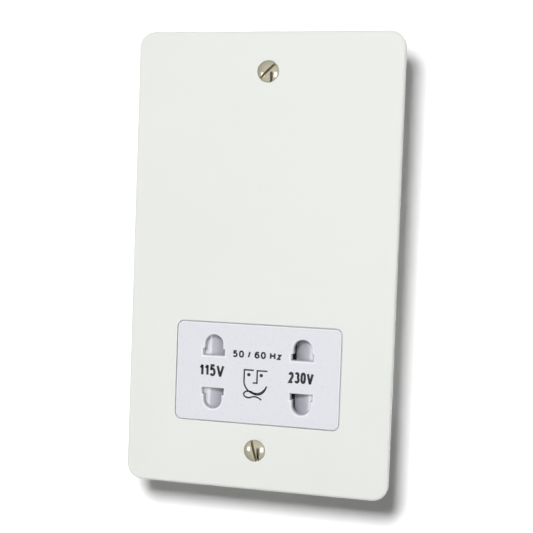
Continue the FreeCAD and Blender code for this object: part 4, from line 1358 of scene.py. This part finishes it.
@dataclass
class Fasteners:
    """Weld studs, spacers and bevelled hexagon nuts."""

    flats: float = 5.5
    thick: float = 2.4
    bore: float = 1.55
    bevel: float = 0.15
    face_share: float = 0.97
    steps: int = 48
    nuts: tuple[Triple, ...] = (
        (-29.0, 20.0, -20.2),
        (29.0, 20.0, -51.4),
        (-19.0, 30.6, 44.25),
        (19.0, 30.6, -3.25),
        (-19.0, 44.0, 44.25),
        (19.0, 44.0, -3.25),
        (10.0, -0.6, -12.4),
    )
    weld: float = -1.2
    stud_radius: float = 1.5
    pitch: float = 0.5
    thread_depth: float = 0.27
    around: int = 20
    along: int = 5
    studs: tuple[tuple[str, tuple[Triple, ...]], ...] = (
        ("socket_studs", ((-29.0, -20.2, 22.8), (29.0, -51.4, 22.8))),
        ("core_studs", ((-19.0, 44.25, 46.8), (19.0, -3.25, 46.8))),
        ("earth_stud", ((10.0, -12.4, 2.2),)),
    )

    def build(self) -> list[Piece]:
        """Build the nuts and studs, and dress the spacers.

        Returns:
            The nuts, studs and spacers.
        """
        mesher = Mesher()
        for place in self.nuts:
            self.add_nut(mesher, *place)
        nuts = mesher.piece("stud_nuts_bevelled", ZINC.material(), sharp=25.0)
        pieces = [seated(nuts, "stud_nuts")]
        form = (self.stud_radius, self.pitch, self.thread_depth)
        for node, ends in self.studs:
            mesher = Mesher()
            for x, z, end in ends:
                Thread(x, z, self.weld, end, *form, around=self.around, along=self.along).add_to(mesher)
            studs = mesher.piece(node + "_threaded", ZINC.material(), sharp=50.0)
            pieces.append(seated(studs, node))
        return [*pieces, dress("core_spacers", ZINC)]

    def add_nut(self, mesher: Mesher, x: float, y: float, z: float) -> None:
        """One hexagon nut with bevelled corners.

        Args:
            mesher: Mesh that takes the nut.
            x: Place across.
            y: Depth of its seat.
            z: Height.
        """
        half, sixth = self.flats / 2, math.pi / 6
        flat, bore = half * self.face_share, self.bore + self.bevel

        def loop(depth: float, radius: float | None = None, inward: float = 0.0) -> Ring:
            """A circle, or the hexagon's border lowered towards its corners.

            Args:
                depth: Depth from the seat.
                radius: Radius of the circle, or none for the border.
                inward: Way in which the corners are lowered.

            Returns:
                The ring.
            """
            outline = []
            for step in range(self.steps):
                angle = 2 * math.pi * (step + 0.5) / self.steps
                side = half / math.cos((angle + sixth) % (2 * sixth) - sixth)
                outline.append(on_circle(x, z, radius or side, angle))
            ring = mesher.ring(outline, y + depth)
            for vert in ring:
                out = math.hypot(vert.co.x / MM - x, vert.co.z / MM - z) - flat
                vert.co.y += inward * out * math.tan(sixth) * MM
            return ring

        rings = [
            loop(self.bevel, self.bore),
            loop(0.0, bore),
            loop(0.0, flat),
            loop(0.0, inward=1.0),
            loop(self.thick, inward=-1.0),
            loop(self.thick, flat),
            loop(self.thick, bore),
            loop(self.thick - self.bevel, self.bore),
        ]
        mesher.bridge(*rings, rings[0])


@dataclass
class Transformer(Group):
    """Core, bobbin, windings, solder pins and thermal cut-out."""

    soft: SoftRows = (
        ("core_e_stack", "core_e_plates", CORE_STEEL, "core_steel", 0.2),
        ("core_i_stack", "core_i_plates", CORE_STEEL, "core_steel", 0.2),
        ("bobbin", "bobbin_moulded", NYLON, "bobbin_nylon", 0.2),
        ("primary_winding", "primary_winding_taped", COIL_TAPE, "winding_tape", 0.4),
        ("secondary_winding", "secondary_winding_taped", COIL_TAPE, "winding_tape", 0.4),
        ("thermal_cutout", "thermal_cutout_case", CASE_PLASTIC, "cutout_case", 0.2),
    )
    plain: PlainRows = (("bobbin_pins", TIN),)


@dataclass
class MainsTerminals(Group):
    """Terminal block with its brass clamps and screws."""

    soft: SoftRows = (
        ("terminal_block", "terminal_block_moulded", TERMINAL_PLASTIC, "terminal_moulding", 0.25),
        ("terminal_clamps", "terminal_clamps_brass", BRASS, "contact_brass", 0.15),
        ("terminal_screws", "terminal_screws_slotted", ZINC, "plated_steel", 0.125),
    )


@dataclass
class RearHousing(Group):
    """Moulded box behind the plate."""

    soft: SoftRows = (
        ("rear_housing", "rear_housing_moulded", HOUSING_PLASTIC, "housing_moulding", 0.45),
    )


@dataclass
class Wiring:
    """Sleeved leads and the earth tag."""

    sleeves: tuple[tuple[str, Colour], ...] = (
        ("live_lead", (0.13, 0.045, 0.02)),
        ("neutral_lead", (0.02, 0.09, 0.42)),
        ("common_lead", (0.018, 0.018, 0.018)),
        ("lead_115v", (0.26, 0.26, 0.27)),
        ("lead_230v", (0.45, 0.02, 0.015)),
    )
    earth: tuple[Colour, Colour, float] = ((0.05, 0.3, 0.03), (0.85, 0.72, 0.03), 0.0222)

    def build(self) -> list[Piece]:
        """Dress the leads and the tag.

        Returns:
            The leads and the tag.
        """
        pieces = [dress(node, Sleeve(f"sleeve_{node}", tone)) for node, tone in self.sleeves]
        earth = Sleeve("sleeve_earth_lead", *self.earth)
        return [*pieces, dress("earth_lead", earth), dress("earth_tag", TIN)]


# Studio


class Lit(Enum):
    """What a lamp lights, by the floor's state in its light linking."""

    OBJECT = "EXCLUDE"
    FLOOR = "INCLUDE"


@dataclass(frozen=True)
class Lamp:
    """One soft rectangular lamp aimed at the object."""

    name: str
    azimuth: float
    elevation: float
    distance: float
    size: Pair
    power: float
    mirrored: bool = False
    lit: Lit = Lit.OBJECT


@dataclass
class Studio:
    """Camera, lamps, world and the pale floor that the socket's back rests on."""

    azimuth: float = 12.81
    elevation: float = 2.42
    roll: float = 2.09
    distance: float = 0.3207
    lens: float = 68.32
    sensor: float = 36.0
    clip: Pair = (0.01, 20.0)
    target: Triple = (0.0018, -0.003, -0.00116)
    floor_y: float = 0.0472
    floor_half: float = 0.6
    floor_parts: int = 8
    floor_tone: float = 0.95
    floor_fade: Pair = (0.14, 0.3)
    falloff: float = 4.0
    ambient: float = 0.113
    post: Pair = (0.14, 0.13)
    post_top: float = 0.09
    post_ahead: float = 0.3
    post_dark: float = 0.92
    dim: tuple[float, float, float, float] = (0.35, 0.95, 0.4, 0.0)
    lamps: tuple[Lamp, ...] = (
        Lamp("key_lamp", 0.8, 20.7, 3.0, (0.4, 0.4), 41.0),
        Lamp("shadow_lamp", 6.66, 10.68, 0.3231, (0.05, 0.05), 1.5, lit=Lit.FLOOR),
        Lamp("front_fill", 4.0, 6.0, 2.5, (1.5, 1.5), 21.6),
        Lamp("left_window", -41.0, -6.0, 1.5, (0.3, 0.45), 1.2, mirrored=True),
        Lamp("right_window", 28.5, -6.0, 1.5, (0.37, 0.6), 1.75, mirrored=True),
        Lamp("back_lamp", 190.0, 25.0, 1.6, (0.9, 0.9), 19.0),
        Lamp("right_lamp", 100.0, 8.0, 2.0, (0.8, 0.8), 7.0),
        Lamp("left_lamp", -100.0, 8.0, 2.0, (0.8, 0.8), 9.0),
        Lamp("low_lamp", 170.0, -60.0, 2.0, (0.8, 0.8), 9.0),
    )

    @staticmethod
    def direction(azimuth: float, elevation: float) -> Vector:
        """Unit vector from the object to degrees right of its front and above the horizon."""
        a, e = math.radians(azimuth), math.radians(elevation)
        return Vector((math.sin(a) * math.cos(e), -math.cos(a) * math.cos(e), math.sin(e)))

    def build(self) -> None:
        """Set the whole studio up."""
        self.camera()
        self.world()
        floor = self.floor()
        receivers = {}
        for lit in Lit:
            receivers[lit] = bpy.data.collections.new(f"lit_{lit.name.lower()}")
            receivers[lit].objects.link(floor)
            receivers[lit].collection_objects[0].light_linking.link_state = lit.value
        for lamp in self.lamps:
            self.place(lamp).light_linking.receiver_collection = receivers[lamp.lit]
        bpy.context.scene.view_settings.view_transform = "Standard"

    def camera(self) -> None:
        """Place the camera where the photograph was taken from."""
        back = self.direction(self.azimuth, self.elevation)
        a, roll = math.radians(self.azimuth), math.radians(self.roll)
        right = Vector((math.cos(a), math.sin(a), 0.0))
        up = back.cross(right)
        across = math.cos(roll) * right + math.sin(roll) * up
        over = -math.sin(roll) * right + math.cos(roll) * up
        data = bpy.data.cameras.new("photo_camera")
        data.lens = self.lens
        data.sensor_width = self.sensor
        data.clip_start, data.clip_end = self.clip
        camera = placed("photo_camera", data)
        turn = Matrix((across, over, back)).transposed().to_4x4()
        camera.matrix_world = Matrix.Translation(Vector(self.target) + back * self.distance) @ turn
        bpy.context.scene.camera = camera

    def place(self, lamp: Lamp) -> Piece:
        """Place one lamp.

        Args:
            lamp: Its place, size and power.

        Returns:
            The lamp's object.
        """
        data = bpy.data.lights.new(lamp.name, "AREA")
        data.shape = "RECTANGLE"
        data.size, data.size_y = lamp.size
        data.energy = lamp.power
        piece = placed(lamp.name, data)
        towards = self.direction(lamp.azimuth, lamp.elevation)
        piece.location = towards * lamp.distance
        piece.rotation_mode = "QUATERNION"
        piece.rotation_quaternion = (-towards).to_track_quat("-Z", "Y")
        piece.visible_glossy = lamp.mirrored
        piece.visible_camera = False
        return piece

    def world(self) -> None:
        """Even ambient light, white behind the object, and white with a dark post in its reflections."""
        world = bpy.data.worlds.new("studio_world")
        bpy.context.scene.world = world
        nodes = Nodes(world)
        rays = nodes.add("ShaderNodeLightPath").outputs
        view = nodes.add("ShaderNodeTexCoord").outputs["Generated"]
        parts = nodes.add("ShaderNodeSeparateXYZ", {0: view}).outputs
        middle, half = self.post
        ahead = nodes.maths("MULTIPLY", parts["Y"], -1.0)
        aside = nodes.maths("SUBTRACT", nodes.maths("DIVIDE", parts["X"], ahead), middle)
        narrow = nodes.maths("LESS_THAN", nodes.maths("ABSOLUTE", aside, 0.0), half)
        low = nodes.maths("LESS_THAN", parts["Z"], self.post_top)
        facing = nodes.maths("GREATER_THAN", ahead, self.post_ahead)
        dark = nodes.maths("MULTIPLY", narrow, low, facing, rays["Is Glossy Ray"], self.post_dark)
        away = nodes.maths("MULTIPLY", nodes.remap(ahead, *self.dim), rays["Is Glossy Ray"])
        left = nodes.maths("SUBTRACT", 1.0, dark, away)
        kinds = ("Is Camera Ray", "Is Glossy Ray", "Is Transmission Ray")
        clear = nodes.maths("MAXIMUM", *(rays[kind] for kind in kinds))
        plain = nodes.add("ShaderNodeBackground", {"Color": WHITE, "Strength": self.ambient})
        white = nodes.add("ShaderNodeBackground", {"Color": WHITE, "Strength": left})
        mix = nodes.add("ShaderNodeMixShader", {0: clear, 1: plain, 2: white})
        nodes.add("ShaderNodeOutputWorld", {"Surface": mix})

    def floor(self) -> Piece:
        """Pale floor behind the socket, seen from its upper side only.

        Returns:
            The floor.
        """
        bm = bmesh.new()
        parts = self.floor_parts
        bmesh.ops.create_grid(bm, x_segments=parts, y_segments=parts, size=self.floor_half)
        bmesh.ops.rotate(bm, verts=bm.verts, cent=(0, 0, 0), matrix=Matrix.Rotation(math.pi / 2, 3, "X"))
        bmesh.ops.translate(bm, verts=bm.verts, vec=(0, self.floor_y, 0))
        mesh = bpy.data.meshes.new("pale_floor")
        bm.to_mesh(mesh)
        bm.free()
        floor = placed("pale_floor", mesh)
        floor.visible_shadow = False
        floor.visible_diffuse = False
        mesh.materials.append(self.floor_material())
        return floor

    def floor_material(self) -> Material:
        """White matt floor that fades into the white surround and is clear from behind.

        Returns:
            The material.
        """
        recipe = Recipe("floor_paper")
        recipe.tree.nodes.remove(recipe.shader)
        near = next(lamp for lamp in self.lamps if lamp.lit is Lit.FLOOR)
        source = self.direction(near.azimuth, near.elevation) * near.distance
        reach = recipe.add("ShaderNodeVectorMath", {0: recipe.place, 1: source}, operation="DISTANCE")
        ratio = recipe.maths("DIVIDE", reach.outputs["Value"], self.floor_y - source.y)
        paper = recipe.tones(recipe.noise(0.6, 3.0), (self.floor_tone,) * 3, 0.98, 1.0)
        gain = {0: paper, "Scale": recipe.maths("POWER", ratio, self.falloff)}
        even = recipe.add("ShaderNodeVectorMath", gain, operation="SCALE")
        matt = recipe.add("ShaderNodeBsdfDiffuse", {"Color": even})
        far = recipe.add("ShaderNodeVectorMath", {0: recipe.place}, operation="LENGTH").outputs["Value"]
        seen = recipe.add("ShaderNodeLightPath").outputs["Is Camera Ray"]
        share = recipe.maths("MULTIPLY", recipe.remap(far, *self.floor_fade), seen)
        white = recipe.add("ShaderNodeEmission", {"Color": WHITE})
        faded = recipe.add("ShaderNodeMixShader", {0: share, 1: matt, 2: white})
        clear = recipe.add("ShaderNodeBsdfTransparent")
        behind = recipe.add("ShaderNodeNewGeometry").outputs["Backfacing"]
        front_only = recipe.add("ShaderNodeMixShader", {0: behind, 1: faded, 2: clear})
        recipe.feed(recipe.output.inputs["Surface"], front_only)
        return recipe.material


def main() -> None:
    """Build every sub-assembly, set the studio up and report each piece."""
    logging.basicConfig(level=logging.INFO, format="%(name)s: %(message)s")
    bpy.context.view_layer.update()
    assemblies = (
        FrontPlate(),
        FixingScrews(),
        OutletFace(),
        Shutter(),
        ContactGroup(),
        Fasteners(),
        Transformer(),
        MainsTerminals(),
        RearHousing(),
        Wiring(),
    )
    for assembly in assemblies:
        for piece in assembly.build():
            LOG.info("%s: %s", type(assembly).__name__, piece.name)
    Studio().build()
    bpy.context.view_layer.update()


if __name__ == "__main__":
    main()
